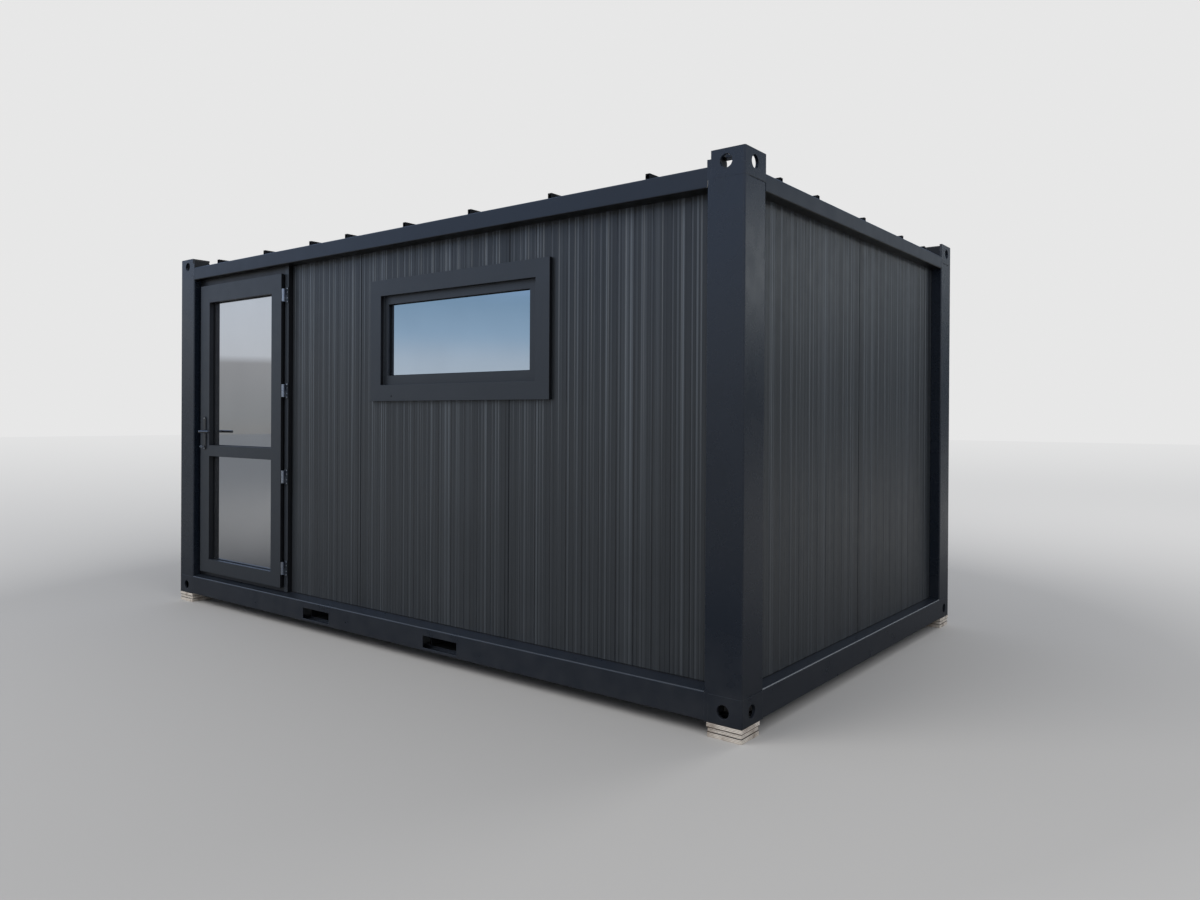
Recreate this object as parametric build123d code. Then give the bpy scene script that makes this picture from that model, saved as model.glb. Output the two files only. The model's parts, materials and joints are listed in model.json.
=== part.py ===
from build123d import *
import os

# Toilet container, 5 m by 3 m, standing on plywood packers.
# Millimetres. The origin is the middle of the footprint at ground level.
# +X runs along the length, the door and the window face -Y, +Z is up.
# A level is counted from the underside of the steel frame, a depth from its outer face inwards.

# Whole box
LENGTH = 5000.0
WIDTH = 3000.0
STEEL_HEIGHT = 2600.0

# Plywood packers, three boards under each corner, the lowest first
PLY = 22.5
PACKER_LENGTH, PACKER_WIDTH = 184.0, 170.0
PACKER_INSETS = (3.0, 5.0, 0.0)
PACKER_CORNER = 3.0

# Steel frame
SHEET = 5.0
POST_FACE = 196.0
FOLD_RADIUS = 8.0
RAIL_FOLD_RADIUS = 7.0
RAIL_LIP = 70.0
RAIL_RETURN = 19.0
BOTTOM_RAIL_FOLD = 136.0
LONG_PANEL_FOOT, END_PANEL_FOOT = 150.0, 142.0
LONG_TOP_RAIL_LOW, LONG_TOP_RAIL_HIGH = 2433.0, 2530.0
END_TOP_RAIL_LOW, END_TOP_RAIL_HIGH = 2428.0, 2512.0

# Corner castings: a box of thick plate, open towards the inside of the frame
CASTING_LENGTH, CASTING_WIDTH, CASTING_HEIGHT = 176.0, 196.0, 130.0
CASTING_WALL = 16.0
CASTING_HOLE_RADIUS = 32.0
LONG_HOLE_FROM_CORNER, END_HOLE_FROM_CORNER = 98.0, 92.0
TOP_HOLE_DOWN, BOTTOM_HOLE_UP = 57.0, 60.0
CASTING_SLOT_LENGTH, CASTING_SLOT_WIDTH = 124.0, 63.5
CASTING_SLOT_FROM_FACE, CASTING_DECK_WIDTH = 66.0, 135.0
CASTING_CLEARANCE = 2.0
CHEEK_TOP = 2561.6
JOINT_WIDTH, JOINT_DEPTH, JOINT_FROM_CORNER = 3.0, 2.0, 36.0

# Fork pockets under the floor, from the front rail to the rear rail
POCKET_WIDTH, POCKET_HEIGHT = 290.0, 72.0
POCKET_LOW = 19.0
POCKET_WALL = 5.0
POCKET_MIDDLES = {"left": -697.0, "right": 517.0}

# Sandwich wall panels and how far they sit behind the frame's faces
PANEL_THICKNESS = 60.0
LONG_RECESS = 87.0
END_RECESS = 67.0
RIB_PITCH = 110.0
RIB_SLOPE = 6.0
RIB_DEPTH = 2.0
LONG_PANEL_WIDTH = 1322.0

# Floor
FLOOR_HIGH = 165.0
JOIST_WIDTH, JOIST_HEIGHT, JOIST_SHEET = 50.0, 90.0, 4.0
JOIST_OFFSETS = (300.0, 920.0, 1500.0, 2100.0)

# Roof
ROOF_LOW, ROOF_FLAT, ROOF_RIB_TOP = 2438.0, 2480.0, 2504.0
ROOF_REST = 10.0
ROOF_EDGE_GAP = 3.0
ROOF_RIB_PITCH = 250.0
ROOF_RIB_FOOT, ROOF_RIB_CREST = 60.0, 28.0

# Short channels lying on the roof's edges, measured from the near corner
TAB_WIDTH, TAB_LENGTH, TAB_HEIGHT, TAB_SETBACK, TAB_SHEET = 25.0, 150.0, 38.0, 40.0, 4.0
LONG_TAB_PLACES = (555, 1184, 1792, 2360, 2938, 3334, 3892, 4521)
END_TAB_PLACES = (435, 861, 1500, 2133, 2565)

# Door frame, from the left post along the front
DOOR_UNIT_WIDTH = 1192.0
DOOR_FRAME_RECESS = 57.0
JAMB = 75.0
HEAD = 70.0
SILL = 48.0

# Door leaf: how much of the frame shows round it, its section and its lights
FRAME_SHOWS_LEFT, FRAME_SHOWS_RIGHT = 47.0, 50.5
FRAME_SHOWS_TOP, FRAME_SHOWS_BOTTOM = 54.0, 30.0
LEAF_FACE = 31.0
LEAF_FLANGE = 21.0
LEAF_BACK = 101.0
LEAF_GAP = 10.0
LEFT_STILE, RIGHT_STILE = 128.0, 121.0
LEAF_TOP_RAIL, LEAF_BOTTOM_RAIL = 131.0, 100.0
TRANSOM_LOW, TRANSOM_HIGH = 1073.0, 1155.0
DOOR_GLASS_FACE = 72.0
PANE = 24.0
REBATE = 12.0

# Barrel hinges in the corner between the leaf's edge and the frame's face
HINGE_LEVELS = (317.0, 957.0, 1560.0, 2228.0)
HINGE_HEIGHT = 88.0
HINGE_RADIUS = 12.5
HINGE_PIN_RADIUS = 4.0
HINGE_CAP = 5.0
RUNNING_GAP = 0.05
HINGE_KNUCKLE_GAP = 1.0
HINGE_AXIS_FROM_LEAF = 14.5
HINGE_AXIS_DEPTH = 40.0
HINGE_WING_INSET = 2.0
HINGE_PLATE, HINGE_PLATE_HEIGHT = 5.0, 110.0
HINGE_PLATE_FROM_AXIS, HINGE_PLATE_FROM_EDGE = 8.0, 2.0

# Lever handle on the leaf's left stile
HANDLE_FROM_LEAF_EDGE = 70.0
HANDLE_LEVEL = 1260.0
PLATE_WIDTH, PLATE_LOW, PLATE_HIGH, PLATE_THICKNESS = 36.0, 1124.0, 1376.0, 8.0
PLATE_END_RADIUS = 17.0
SPINDLE_RADIUS = 7.0
SPINDLE_CLEARANCE = 1.5
LEVER_RADIUS, LEVER_LENGTH = 10.0, 150.0
LEVER_PROJECTION = 46.0
ELBOW_RADIUS = 20.0
LEVER_END_ROUND = 4.0
NECK_GAP = 0.5
CYLINDER_LEVEL, CYLINDER_RADIUS, CYLINDER_PROUD, CYLINDER_GAP = 1144.0, 8.5, 4.0, 0.3

# Window, measured from the near corner along the front
WINDOW_LEFT, WINDOW_RIGHT = -2711.0, -1203.0
WINDOW_LOW, WINDOW_HIGH = 1480.0, 2240.0
CASING_MEMBER = 100.0
CASING_FACE = 64.0
SASH_FACE = 95.0
SASH_LEFT, SASH_RIGHT, SASH_LOW, SASH_HIGH = 38.0, 68.0, 60.0, 52.0
WINDOW_GLASS_FACE = 117.0

# How far a cutting shape runs past the faces that it cuts
PAST = 1.0

# Worked out from the sizes above
X_END, Y_SIDE = LENGTH / 2, WIDTH / 2
Z0 = len(PACKER_INSETS) * PLY
FRONT = -Y_SIDE
X_POST, Y_POST = X_END - POST_FACE, Y_SIDE - POST_FACE
LONG_WALL_BACK = LONG_RECESS + PANEL_THICKNESS
END_WALL_BACK = END_RECESS + PANEL_THICKNESS
X_INSIDE, Y_INSIDE = X_END - END_WALL_BACK, Y_SIDE - LONG_WALL_BACK
POCKET_TOP = POCKET_LOW + POCKET_HEIGHT + POCKET_WALL


def block(x0, x1, y0, y1, z0, z1):
    """A box between two corners, heights counted from the ground."""
    return Pos((x0 + x1) / 2, (y0 + y1) / 2, (z0 + z1) / 2) * Box(x1 - x0, y1 - y0, z1 - z0)


def front_block(x0, x1, depth0, depth1, v0, v1):
    """A box by its depths behind the front face and its levels."""
    return block(x0, x1, FRONT + depth0, FRONT + depth1, Z0 + v0, Z0 + v1)


def upright(points, v0, v1):
    """A plan outline raised from level v0 to level v1."""
    face = make_face(Polyline(*points, close=True))
    return Pos(0, 0, Z0 + v0) * extrude(face, v1 - v0)


def across_y(x, v, radius, depth0, depth1):
    """A round bar along Y, by its depths behind the front face."""
    middle = FRONT + (depth0 + depth1) / 2
    return Pos(x, middle, Z0 + v) * Rot(90, 0, 0) * Cylinder(radius, abs(depth1 - depth0))


def on_near_faces(edge):
    """True for an edge on the front face or on the right end face."""
    middle = edge.center()
    return middle.X > X_END - PAST or middle.Y < -Y_SIDE + PAST


def on_near_corner(edge):
    """True for the edge where the front face meets the right end face."""
    middle = edge.center()
    return middle.X > X_END - PAST and middle.Y < -Y_SIDE + PAST


def four_corners(near):
    """The near corner's piece and its mirror images at the other corners."""
    left = mirror(near, about=Plane.YZ)
    return {
        "front_right": near,
        "front_left": left,
        "rear_right": mirror(near, about=Plane.XZ),
        "rear_left": mirror(left, about=Plane.XZ),
    }


nodes = {}


# Corner posts: a closed profile folded round the corner, with a strip beside each casting
# and an open joint against the casting on the end face

def corner_post():
    def outline(inset):
        return [
            (X_END - inset, -Y_SIDE + inset),
            (X_POST + inset, -Y_SIDE + inset),
            (X_POST + inset, -Y_INSIDE - inset),
            (X_INSIDE + inset, -Y_INSIDE - inset),
            (X_INSIDE + inset, -Y_POST - inset),
            (X_END - inset, -Y_POST - inset),
        ]

    low, high = CASTING_HEIGHT, STEEL_HEIGHT - CASTING_HEIGHT
    outside = upright(outline(0), low, high)
    outer_folds = outside.edges().filter_by(Axis.Z).filter_by(on_near_faces)
    outside = fillet(outer_folds, FOLD_RADIUS)
    post = outside - upright(outline(SHEET), low - PAST, high + PAST)
    for v0, v1 in ((0.0, low), (high, CHEEK_TOP)):
        post += block(X_POST, X_END - CASTING_LENGTH, -Y_SIDE, -Y_SIDE + SHEET, Z0 + v0, Z0 + v1)
    for v0, v1 in ((low - PAST, low + JOINT_WIDTH), (high - JOINT_WIDTH, high + PAST)):
        post -= block(X_END - JOINT_DEPTH, X_END + PAST, -Y_SIDE + JOINT_FROM_CORNER, -Y_POST + PAST,
                      Z0 + v0, Z0 + v1)
    return post


for corner, shape in four_corners(corner_post()).items():
    nodes["corner_post_" + corner] = shape


# Corner castings: two outer walls with a round hole each, between two level plates.
# The plate that meets the next container has the slot and stops short of the back.

def corner_casting(v0, at_top):
    x0, x1 = X_END - CASTING_LENGTH, X_END
    y0, y1 = -Y_SIDE, -Y_SIDE + CASTING_WIDTH
    v1 = v0 + CASTING_HEIGHT
    body = block(x0, x1, y0, y1, Z0 + v0, Z0 + v1)
    body = fillet(body.edges().filter_by(Axis.Z).filter_by(on_near_corner), FOLD_RADIUS)
    body -= block(x0 - PAST, x1 - CASTING_WALL, y0 + CASTING_WALL, y1 + PAST,
                  Z0 + v0 + CASTING_WALL, Z0 + v1 - CASTING_WALL)
    hole_v = v1 - TOP_HOLE_DOWN if at_top else v0 + BOTTOM_HOLE_UP
    body -= across_y(X_END - LONG_HOLE_FROM_CORNER, hole_v, CASTING_HOLE_RADIUS,
                     -PAST, CASTING_WALL + PAST)
    end_hole = Rot(0, 90, 0) * Cylinder(CASTING_HOLE_RADIUS, CASTING_WALL + 2 * PAST)
    body -= Pos(X_END - CASTING_WALL / 2, -Y_SIDE + END_HOLE_FROM_CORNER, Z0 + hole_v) * end_hole
    deck_v = v1 - CASTING_WALL if at_top else v0
    slot = extrude(SlotOverall(CASTING_SLOT_LENGTH, CASTING_SLOT_WIDTH), CASTING_WALL + 2 * PAST)
    body -= Pos((x0 + x1) / 2, y0 + CASTING_SLOT_FROM_FACE, Z0 + deck_v - PAST) * slot
    return body - block(x0 - PAST, x1 - CASTING_WALL, y0 + CASTING_DECK_WIDTH, y1 + PAST,
                        Z0 + deck_v - PAST, Z0 + deck_v + CASTING_WALL + PAST)


for corner, shape in four_corners(corner_casting(STEEL_HEIGHT - CASTING_HEIGHT, True)).items():
    nodes["top_casting_" + corner] = shape
for corner, shape in four_corners(corner_casting(0.0, False)).items():
    nodes["bottom_casting_" + corner] = shape


# Rails: folded channels with turned lips between the posts, open towards the inside.
# Their profiles are drawn in (depth, level), with the web at depth 0.

def folded(points):
    """A rail's profile with its two outer folds rounded."""
    face = make_face(Polyline(*points, close=True))
    outer = face.vertices().filter_by(lambda p: p.X < PAST)
    return fillet(outer, RAIL_FOLD_RADIUS)


def bottom_profile(recess, reach, foot):
    """The top flange slopes up to the foot of the wall panel, and runs on under it."""
    lip_front = RAIL_LIP - SHEET
    return folded([
        (0, 0), (RAIL_LIP, 0), (RAIL_LIP, RAIL_RETURN), (lip_front, RAIL_RETURN),
        (lip_front, SHEET), (SHEET, SHEET), (SHEET, BOTTOM_RAIL_FOLD - SHEET),
        (recess, foot - SHEET), (reach, foot - SHEET), (reach, foot), (recess, foot),
        (0, BOTTOM_RAIL_FOLD),
    ])


def top_profile(reach, height):
    """The low flange carries the roof deck, and the lip on top turns down."""
    lip_front = RAIL_LIP - SHEET
    return folded([
        (0, 0), (reach, 0), (reach, SHEET), (SHEET, SHEET), (SHEET, height - SHEET),
        (lip_front, height - SHEET), (lip_front, height - RAIL_RETURN),
        (RAIL_LIP, height - RAIL_RETURN), (RAIL_LIP, height), (0, height),
    ])


def long_rail(profile, v0):
    """A rail on the front face, between the two front posts."""
    plane = Plane(origin=(-X_POST, FRONT, Z0 + v0), x_dir=(0, 1, 0), z_dir=(1, 0, 0))
    return extrude(plane * profile, 2 * X_POST)


def end_rail(profile, v0):
    """A rail on the right end face, between the two right posts."""
    plane = Plane(origin=(X_END, -Y_POST, Z0 + v0), x_dir=(-1, 0, 0), z_dir=(0, 1, 0))
    return extrude(plane * profile, 2 * Y_POST)


roof_reach = ROOF_REST + ROOF_EDGE_GAP
bottom_front = long_rail(bottom_profile(LONG_RECESS, LONG_WALL_BACK, LONG_PANEL_FOOT), 0.0)
for middle in POCKET_MIDDLES.values():
    bottom_front -= front_block(middle - POCKET_WIDTH / 2, middle + POCKET_WIDTH / 2,
                                -PAST, SHEET + PAST, POCKET_LOW, POCKET_LOW + POCKET_HEIGHT)
bottom_right = end_rail(bottom_profile(END_RECESS, END_WALL_BACK, END_PANEL_FOOT), 0.0)
top_front = long_rail(top_profile(LONG_WALL_BACK + roof_reach, LONG_TOP_RAIL_HIGH - LONG_TOP_RAIL_LOW),
                      LONG_TOP_RAIL_LOW)
top_right = end_rail(top_profile(END_WALL_BACK + roof_reach, END_TOP_RAIL_HIGH - END_TOP_RAIL_LOW),
                     END_TOP_RAIL_LOW)

nodes["bottom_rail_front"] = bottom_front
nodes["bottom_rail_rear"] = mirror(bottom_front, about=Plane.XZ)
nodes["bottom_rail_right"] = bottom_right
nodes["bottom_rail_left"] = mirror(bottom_right, about=Plane.YZ)
nodes["top_rail_front"] = top_front
nodes["top_rail_rear"] = mirror(top_front, about=Plane.XZ)
nodes["top_rail_right"] = top_right
nodes["top_rail_left"] = mirror(top_right, about=Plane.YZ)


# Fork pockets: two rectangular tubes between the turned lips of the long bottom rails

def fork_pocket(middle):
    half, wall = POCKET_WIDTH / 2, POCKET_WALL
    reach = Y_SIDE - RAIL_LIP
    tube = block(middle - half - wall, middle + half + wall, -reach, reach,
                 Z0 + POCKET_LOW - wall, Z0 + POCKET_TOP)
    return tube - block(middle - half, middle + half, -reach - PAST, reach + PAST,
                        Z0 + POCKET_LOW, Z0 + POCKET_LOW + POCKET_HEIGHT)


for side, middle in POCKET_MIDDLES.items():
    nodes["fork_pocket_" + side] = fork_pocket(middle)


# Floor: an insulated slab on cross joists that span between the long rails' lips

def clear_of_castings(slab, z0, z1):
    """Notches a slab's four corners so that the castings stay free."""
    notch_x = X_END - CASTING_LENGTH - CASTING_CLEARANCE
    notch_y = Y_SIDE - CASTING_WIDTH - CASTING_CLEARANCE
    for xs in ((-X_END, -notch_x), (notch_x, X_END)):
        for ys in ((-Y_SIDE, -notch_y), (notch_y, Y_SIDE)):
            slab -= block(xs[0], xs[1], ys[0], ys[1], z0, z1)
    return slab


floor_slab = block(-X_INSIDE, X_INSIDE, -Y_INSIDE, Y_INSIDE, Z0 + POCKET_TOP, Z0 + FLOOR_HIGH)
nodes["floor_slab"] = clear_of_castings(
    floor_slab, Z0 + POCKET_TOP - PAST, Z0 + CASTING_HEIGHT + CASTING_CLEARANCE)


def joist(x):
    """A channel on its web's side, open towards +X."""
    half, reach, sheet = JOIST_WIDTH / 2, Y_SIDE - RAIL_LIP, JOIST_SHEET
    z0, z1 = Z0 + POCKET_TOP - JOIST_HEIGHT, Z0 + POCKET_TOP
    solid = block(x - half, x + half, -reach, reach, z0, z1)
    return solid - block(x - half + sheet, x + half + PAST, -reach - PAST, reach + PAST,
                         z0 + sheet, z1 - sheet)


nodes["floor_joists"] = Compound([joist(side * x) for side in (-1, 1) for x in JOIST_OFFSETS])


# Roof: a sandwich deck with trapezoidal ribs on top, notched round the castings

def roof_deck():
    half_x, half_y = X_INSIDE - ROOF_EDGE_GAP, Y_INSIDE - ROOF_EDGE_GAP
    flat, crest_top = ROOF_FLAT - ROOF_LOW, ROOF_RIB_TOP - ROOF_LOW
    foot, crest = ROOF_RIB_FOOT / 2, ROOF_RIB_CREST / 2
    points = [(-half_x, 0), (-half_x, flat)]
    count = int(2 * half_x // ROOF_RIB_PITCH)
    for n in range(count):
        x = (n - (count - 1) / 2) * ROOF_RIB_PITCH
        points += [(x - foot, flat), (x - crest, crest_top), (x + crest, crest_top), (x + foot, flat)]
    points += [(half_x, flat), (half_x, 0)]
    face = make_face(Polyline(*points, close=True))
    plane = Plane(origin=(0, half_y, Z0 + ROOF_LOW), x_dir=(1, 0, 0), z_dir=(0, -1, 0))
    deck = extrude(plane * face, 2 * half_y)
    return clear_of_castings(deck, Z0 + ROOF_LOW - PAST, Z0 + ROOF_RIB_TOP + PAST)


nodes["roof_deck"] = roof_deck()


# Roof tabs: short channels, open below and at their ends, lying square to the roof's edge

def long_tab(place):
    """A tab on the front rail, at a distance from the near corner."""
    x, y0, y1 = X_END - place, -Y_SIDE + TAB_SETBACK, -Y_SIDE + TAB_SETBACK + TAB_LENGTH
    z0 = Z0 + LONG_TOP_RAIL_HIGH
    half, inner = TAB_WIDTH / 2, TAB_WIDTH / 2 - TAB_SHEET
    solid = block(x - half, x + half, y0, y1, z0, z0 + TAB_HEIGHT)
    return solid - block(x - inner, x + inner, y0 - PAST, y1 + PAST,
                         z0 - PAST, z0 + TAB_HEIGHT - TAB_SHEET)


def end_tab(place):
    """A tab on the right end's rail, at a distance from the near corner."""
    y, x0, x1 = -Y_SIDE + place, X_END - TAB_SETBACK - TAB_LENGTH, X_END - TAB_SETBACK
    z0 = Z0 + END_TOP_RAIL_HIGH
    half, inner = TAB_WIDTH / 2, TAB_WIDTH / 2 - TAB_SHEET
    solid = block(x0, x1, y - half, y + half, z0, z0 + TAB_HEIGHT)
    return solid - block(x0 - PAST, x1 + PAST, y - inner, y + inner,
                         z0 - PAST, z0 + TAB_HEIGHT - TAB_SHEET)


long_tabs = [long_tab(place) for place in LONG_TAB_PLACES]
end_tabs = [end_tab(place) for place in END_TAB_PLACES]
nodes["roof_tabs"] = Compound(
    long_tabs + [mirror(tab, about=Plane.XZ) for tab in long_tabs]
    + end_tabs + [mirror(tab, about=Plane.YZ) for tab in end_tabs])


# Wall panels: sandwich boards with a shallow lined outer sheet, standing on the bottom rail

def ribbed_outline(width):
    """Plan outline of a panel: x from 0 to width, outer face at depth 0, inner face behind."""
    points = [(0, PANEL_THICKNESS), (0, RIB_DEPTH)]
    count = int((width - RIB_SLOPE) // RIB_PITCH)
    start = (width - count * RIB_PITCH) / 2
    for n in range(count):
        x = start + n * RIB_PITCH + RIB_PITCH / 4
        points += [(x, RIB_DEPTH), (x + RIB_SLOPE, 0),
                   (x + RIB_PITCH / 2, 0), (x + RIB_PITCH / 2 + RIB_SLOPE, RIB_DEPTH)]
    points += [(width, RIB_DEPTH), (width, PANEL_THICKNESS)]
    return points


def front_panel(x0, x1):
    """A panel in the front wall between two places along X."""
    points = [(x0 + x, FRONT + LONG_RECESS + depth) for x, depth in ribbed_outline(x1 - x0)]
    return upright(points, LONG_PANEL_FOOT, LONG_TOP_RAIL_LOW)


def right_panel(y0, y1):
    """A panel in the right end wall between two places along Y."""
    points = [(X_END - END_RECESS - depth, y0 + y) for y, depth in ribbed_outline(y1 - y0)]
    return upright(points, END_PANEL_FOOT, END_TOP_RAIL_LOW)


x_window_left = X_END + WINDOW_LEFT + CASING_MEMBER
x_window_right = X_END + WINDOW_RIGHT - CASING_MEMBER
v_window_low = WINDOW_LOW + CASING_MEMBER
v_window_high = WINDOW_HIGH - CASING_MEMBER
window_hole = front_block(x_window_left, x_window_right, LONG_RECESS - PAST, LONG_WALL_BACK + PAST,
                          v_window_low, v_window_high)

x_door_right = -X_POST + DOOR_UNIT_WIDTH
seams = [X_POST, X_POST - LONG_PANEL_WIDTH, X_POST - 2 * LONG_PANEL_WIDTH, X_POST - 3 * LONG_PANEL_WIDTH]
nodes["front_panel_right"] = front_panel(seams[1], seams[0]) - window_hole
nodes["front_panel_middle"] = front_panel(seams[2], seams[1]) - window_hole
nodes["front_panel_left"] = front_panel(x_door_right, seams[2])
rear_edges = seams + [-X_POST]
for n in range(len(seams)):
    panel = mirror(front_panel(rear_edges[n + 1], rear_edges[n]), about=Plane.XZ)
    nodes["rear_panel_" + str(n + 1)] = panel
end_seam = 0.0
for name, y0, y1 in (("front", -Y_POST, end_seam), ("rear", end_seam, Y_POST)):
    panel = right_panel(y0, y1)
    nodes["right_panel_" + name] = panel
    nodes["left_panel_" + name] = mirror(panel, about=Plane.YZ)


# Door frame: jambs, head and sill in one welded ring, filling the wall beside the left post

frame_x0, frame_x1 = -X_POST, x_door_right
frame_v0, frame_v1 = LONG_PANEL_FOOT, LONG_TOP_RAIL_LOW
nodes["door_frame"] = (
    front_block(frame_x0, frame_x1, DOOR_FRAME_RECESS, LONG_WALL_BACK, frame_v0, frame_v1)
    - front_block(frame_x0 + JAMB, frame_x1 - JAMB, DOOR_FRAME_RECESS - PAST, LONG_WALL_BACK + PAST,
                  frame_v0 + SILL, frame_v1 - HEAD))


# Door leaf: a rebated frame with a transom; its flange laps over the fixed frame

leaf_x0, leaf_x1 = frame_x0 + FRAME_SHOWS_LEFT, frame_x1 - FRAME_SHOWS_RIGHT
leaf_v0, leaf_v1 = frame_v0 + FRAME_SHOWS_BOTTOM, frame_v1 - FRAME_SHOWS_TOP
lights = {
    "upper": (TRANSOM_HIGH, leaf_v1 - LEAF_TOP_RAIL),
    "lower": (leaf_v0 + LEAF_BOTTOM_RAIL, TRANSOM_LOW),
}
light_x0, light_x1 = leaf_x0 + LEFT_STILE, leaf_x1 - RIGHT_STILE


def door_leaf():
    leaf = front_block(leaf_x0, leaf_x1, LEAF_FACE, LEAF_FACE + LEAF_FLANGE, leaf_v0, leaf_v1)
    leaf += front_block(frame_x0 + JAMB + LEAF_GAP, frame_x1 - JAMB - LEAF_GAP,
                        LEAF_FACE + LEAF_FLANGE, LEAF_BACK,
                        frame_v0 + SILL + LEAF_GAP, frame_v1 - HEAD - LEAF_GAP)
    for v0, v1 in lights.values():
        leaf -= front_block(light_x0, light_x1, LEAF_FACE - PAST, LEAF_BACK + PAST, v0, v1)
        leaf -= front_block(light_x0 - REBATE, light_x1 + REBATE, DOOR_GLASS_FACE, LEAF_BACK + PAST,
                            v0 - REBATE, v1 + REBATE)
    return leaf


handle_x = leaf_x0 + HANDLE_FROM_LEAF_EDGE
spindle_hole = across_y(handle_x, HANDLE_LEVEL, SPINDLE_RADIUS + SPINDLE_CLEARANCE,
                        LEAF_FACE - PAST, LEAF_BACK + PAST)
nodes["door_leaf"] = door_leaf() - spindle_hole
for name, (v0, v1) in lights.items():
    nodes["door_glass_" + name] = front_block(
        light_x0 - REBATE, light_x1 + REBATE, DOOR_GLASS_FACE, DOOR_GLASS_FACE + PANE,
        v0 - REBATE, v1 + REBATE)


def glazing_bead(v0, v1):
    depth0, depth1 = DOOR_GLASS_FACE + PANE, LEAF_BACK
    outer = front_block(light_x0 - REBATE, light_x1 + REBATE, depth0, depth1, v0 - REBATE, v1 + REBATE)
    return outer - front_block(light_x0 + REBATE, light_x1 - REBATE, depth0 - PAST, depth1 + PAST,
                               v0 + REBATE, v1 - REBATE)


nodes["door_glazing_beads"] = Compound([glazing_bead(v0, v1) for v0, v1 in lights.values()])


# Hinges: the lower knuckle and the pin stay on the frame, the upper knuckle turns with the leaf

hinge_x = leaf_x1 + HINGE_AXIS_FROM_LEAF
hinge_y = FRONT + HINGE_AXIS_DEPTH
knuckle_height = (HINGE_HEIGHT - HINGE_KNUCKLE_GAP) / 2


def on_hinge_axis(radius, v0, height):
    return Pos(hinge_x, hinge_y, Z0 + v0 + height / 2) * Cylinder(radius, height)


def hinge_frame_half(level):
    """The lower knuckle with the pin, on a foot and a screwed plate on the frame's face."""
    v0 = level - HINGE_HEIGHT / 2
    half = on_hinge_axis(HINGE_RADIUS, v0, knuckle_height)
    half += front_block(hinge_x, hinge_x + HINGE_RADIUS, HINGE_AXIS_DEPTH, DOOR_FRAME_RECESS,
                        v0, v0 + knuckle_height)
    half += front_block(hinge_x + HINGE_PLATE_FROM_AXIS, frame_x1 - HINGE_PLATE_FROM_EDGE,
                        DOOR_FRAME_RECESS - HINGE_PLATE, DOOR_FRAME_RECESS,
                        level - HINGE_PLATE_HEIGHT / 2, level + HINGE_PLATE_HEIGHT / 2)
    half += on_hinge_axis(HINGE_PIN_RADIUS, v0, HINGE_HEIGHT - HINGE_CAP)
    return half


def hinge_leaf_half(level):
    """The upper knuckle, with a wing screwed to the leaf's edge."""
    v0 = level + HINGE_KNUCKLE_GAP / 2
    half = on_hinge_axis(HINGE_RADIUS, v0, knuckle_height)
    half += front_block(leaf_x1, hinge_x, LEAF_FACE + HINGE_WING_INSET,
                        LEAF_FACE + LEAF_FLANGE - HINGE_WING_INSET, v0, v0 + knuckle_height)
    bored = knuckle_height - HINGE_CAP
    return half - on_hinge_axis(HINGE_PIN_RADIUS + RUNNING_GAP, v0 - PAST, bored + PAST)


nodes["hinge_frame_halves"] = Compound([hinge_frame_half(level) for level in HINGE_LEVELS])
nodes["hinge_leaf_halves"] = Compound([hinge_leaf_half(level) for level in HINGE_LEVELS])


# Handle: a long plate on each face of the stile, and a bent round bar on each end of a spindle

def handle_plate(depth0, depth1):
    plate = front_block(handle_x - PLATE_WIDTH / 2, handle_x + PLATE_WIDTH / 2,
                        depth0, depth1, PLATE_LOW, PLATE_HIGH)
    plate = fillet(plate.edges().filter_by(Axis.Y), PLATE_END_RADIUS)
    plate -= across_y(handle_x, HANDLE_LEVEL, SPINDLE_RADIUS + RUNNING_GAP, depth0 - PAST, depth1 + PAST)
    return plate - across_y(handle_x, CYLINDER_LEVEL, CYLINDER_RADIUS + CYLINDER_GAP,
                            depth0 - PAST, depth1 + PAST)


plate_out = LEAF_FACE - PLATE_THICKNESS
plate_in = LEAF_BACK + PLATE_THICKNESS
nodes["handle_plate_outside"] = handle_plate(plate_out, LEAF_FACE)
nodes["handle_plate_inside"] = handle_plate(LEAF_BACK, plate_in)


def lever_bar(depth, away):
    """A round bar that leaves the door at a depth, turns an elbow and runs towards the hinges."""
    y0, z = FRONT + depth, Z0 + HANDLE_LEVEL
    y1 = y0 + away * LEVER_PROJECTION
    path = FilletPolyline((handle_x, y0, z), (handle_x, y1, z), (handle_x + LEVER_LENGTH, y1, z),
                          radius=ELBOW_RADIUS)
    start = Plane(origin=(handle_x, y0, z), z_dir=(0, away, 0))
    bar = sweep(start * Circle(LEVER_RADIUS), path=path)
    free_end = bar.edges().filter_by(GeomType.CIRCLE).sort_by(Axis.X)[-1]
    return fillet(free_end, LEVER_END_ROUND)


def lever_handle():
    lever = across_y(handle_x, HANDLE_LEVEL, SPINDLE_RADIUS,
                     plate_out - LEVER_RADIUS, plate_in + LEVER_RADIUS)
    lever += lever_bar(plate_out - NECK_GAP, -1)
    lever += lever_bar(plate_in + NECK_GAP, 1)
    return lever


nodes["handle_lever"] = lever_handle()
nodes["key_cylinder"] = across_y(handle_x, CYLINDER_LEVEL, CYLINDER_RADIUS,
                                 plate_out - CYLINDER_PROUD, LEAF_FACE)


# Window: a flat casing on the wall, a fixed sash set back in the opening, one pane

casing = front_block(X_END + WINDOW_LEFT, X_END + WINDOW_RIGHT, CASING_FACE, LONG_RECESS,
                     WINDOW_LOW, WINDOW_HIGH)
nodes["window_casing"] = casing - front_block(
    x_window_left, x_window_right, CASING_FACE - PAST, LONG_RECESS + PAST, v_window_low, v_window_high)

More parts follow.
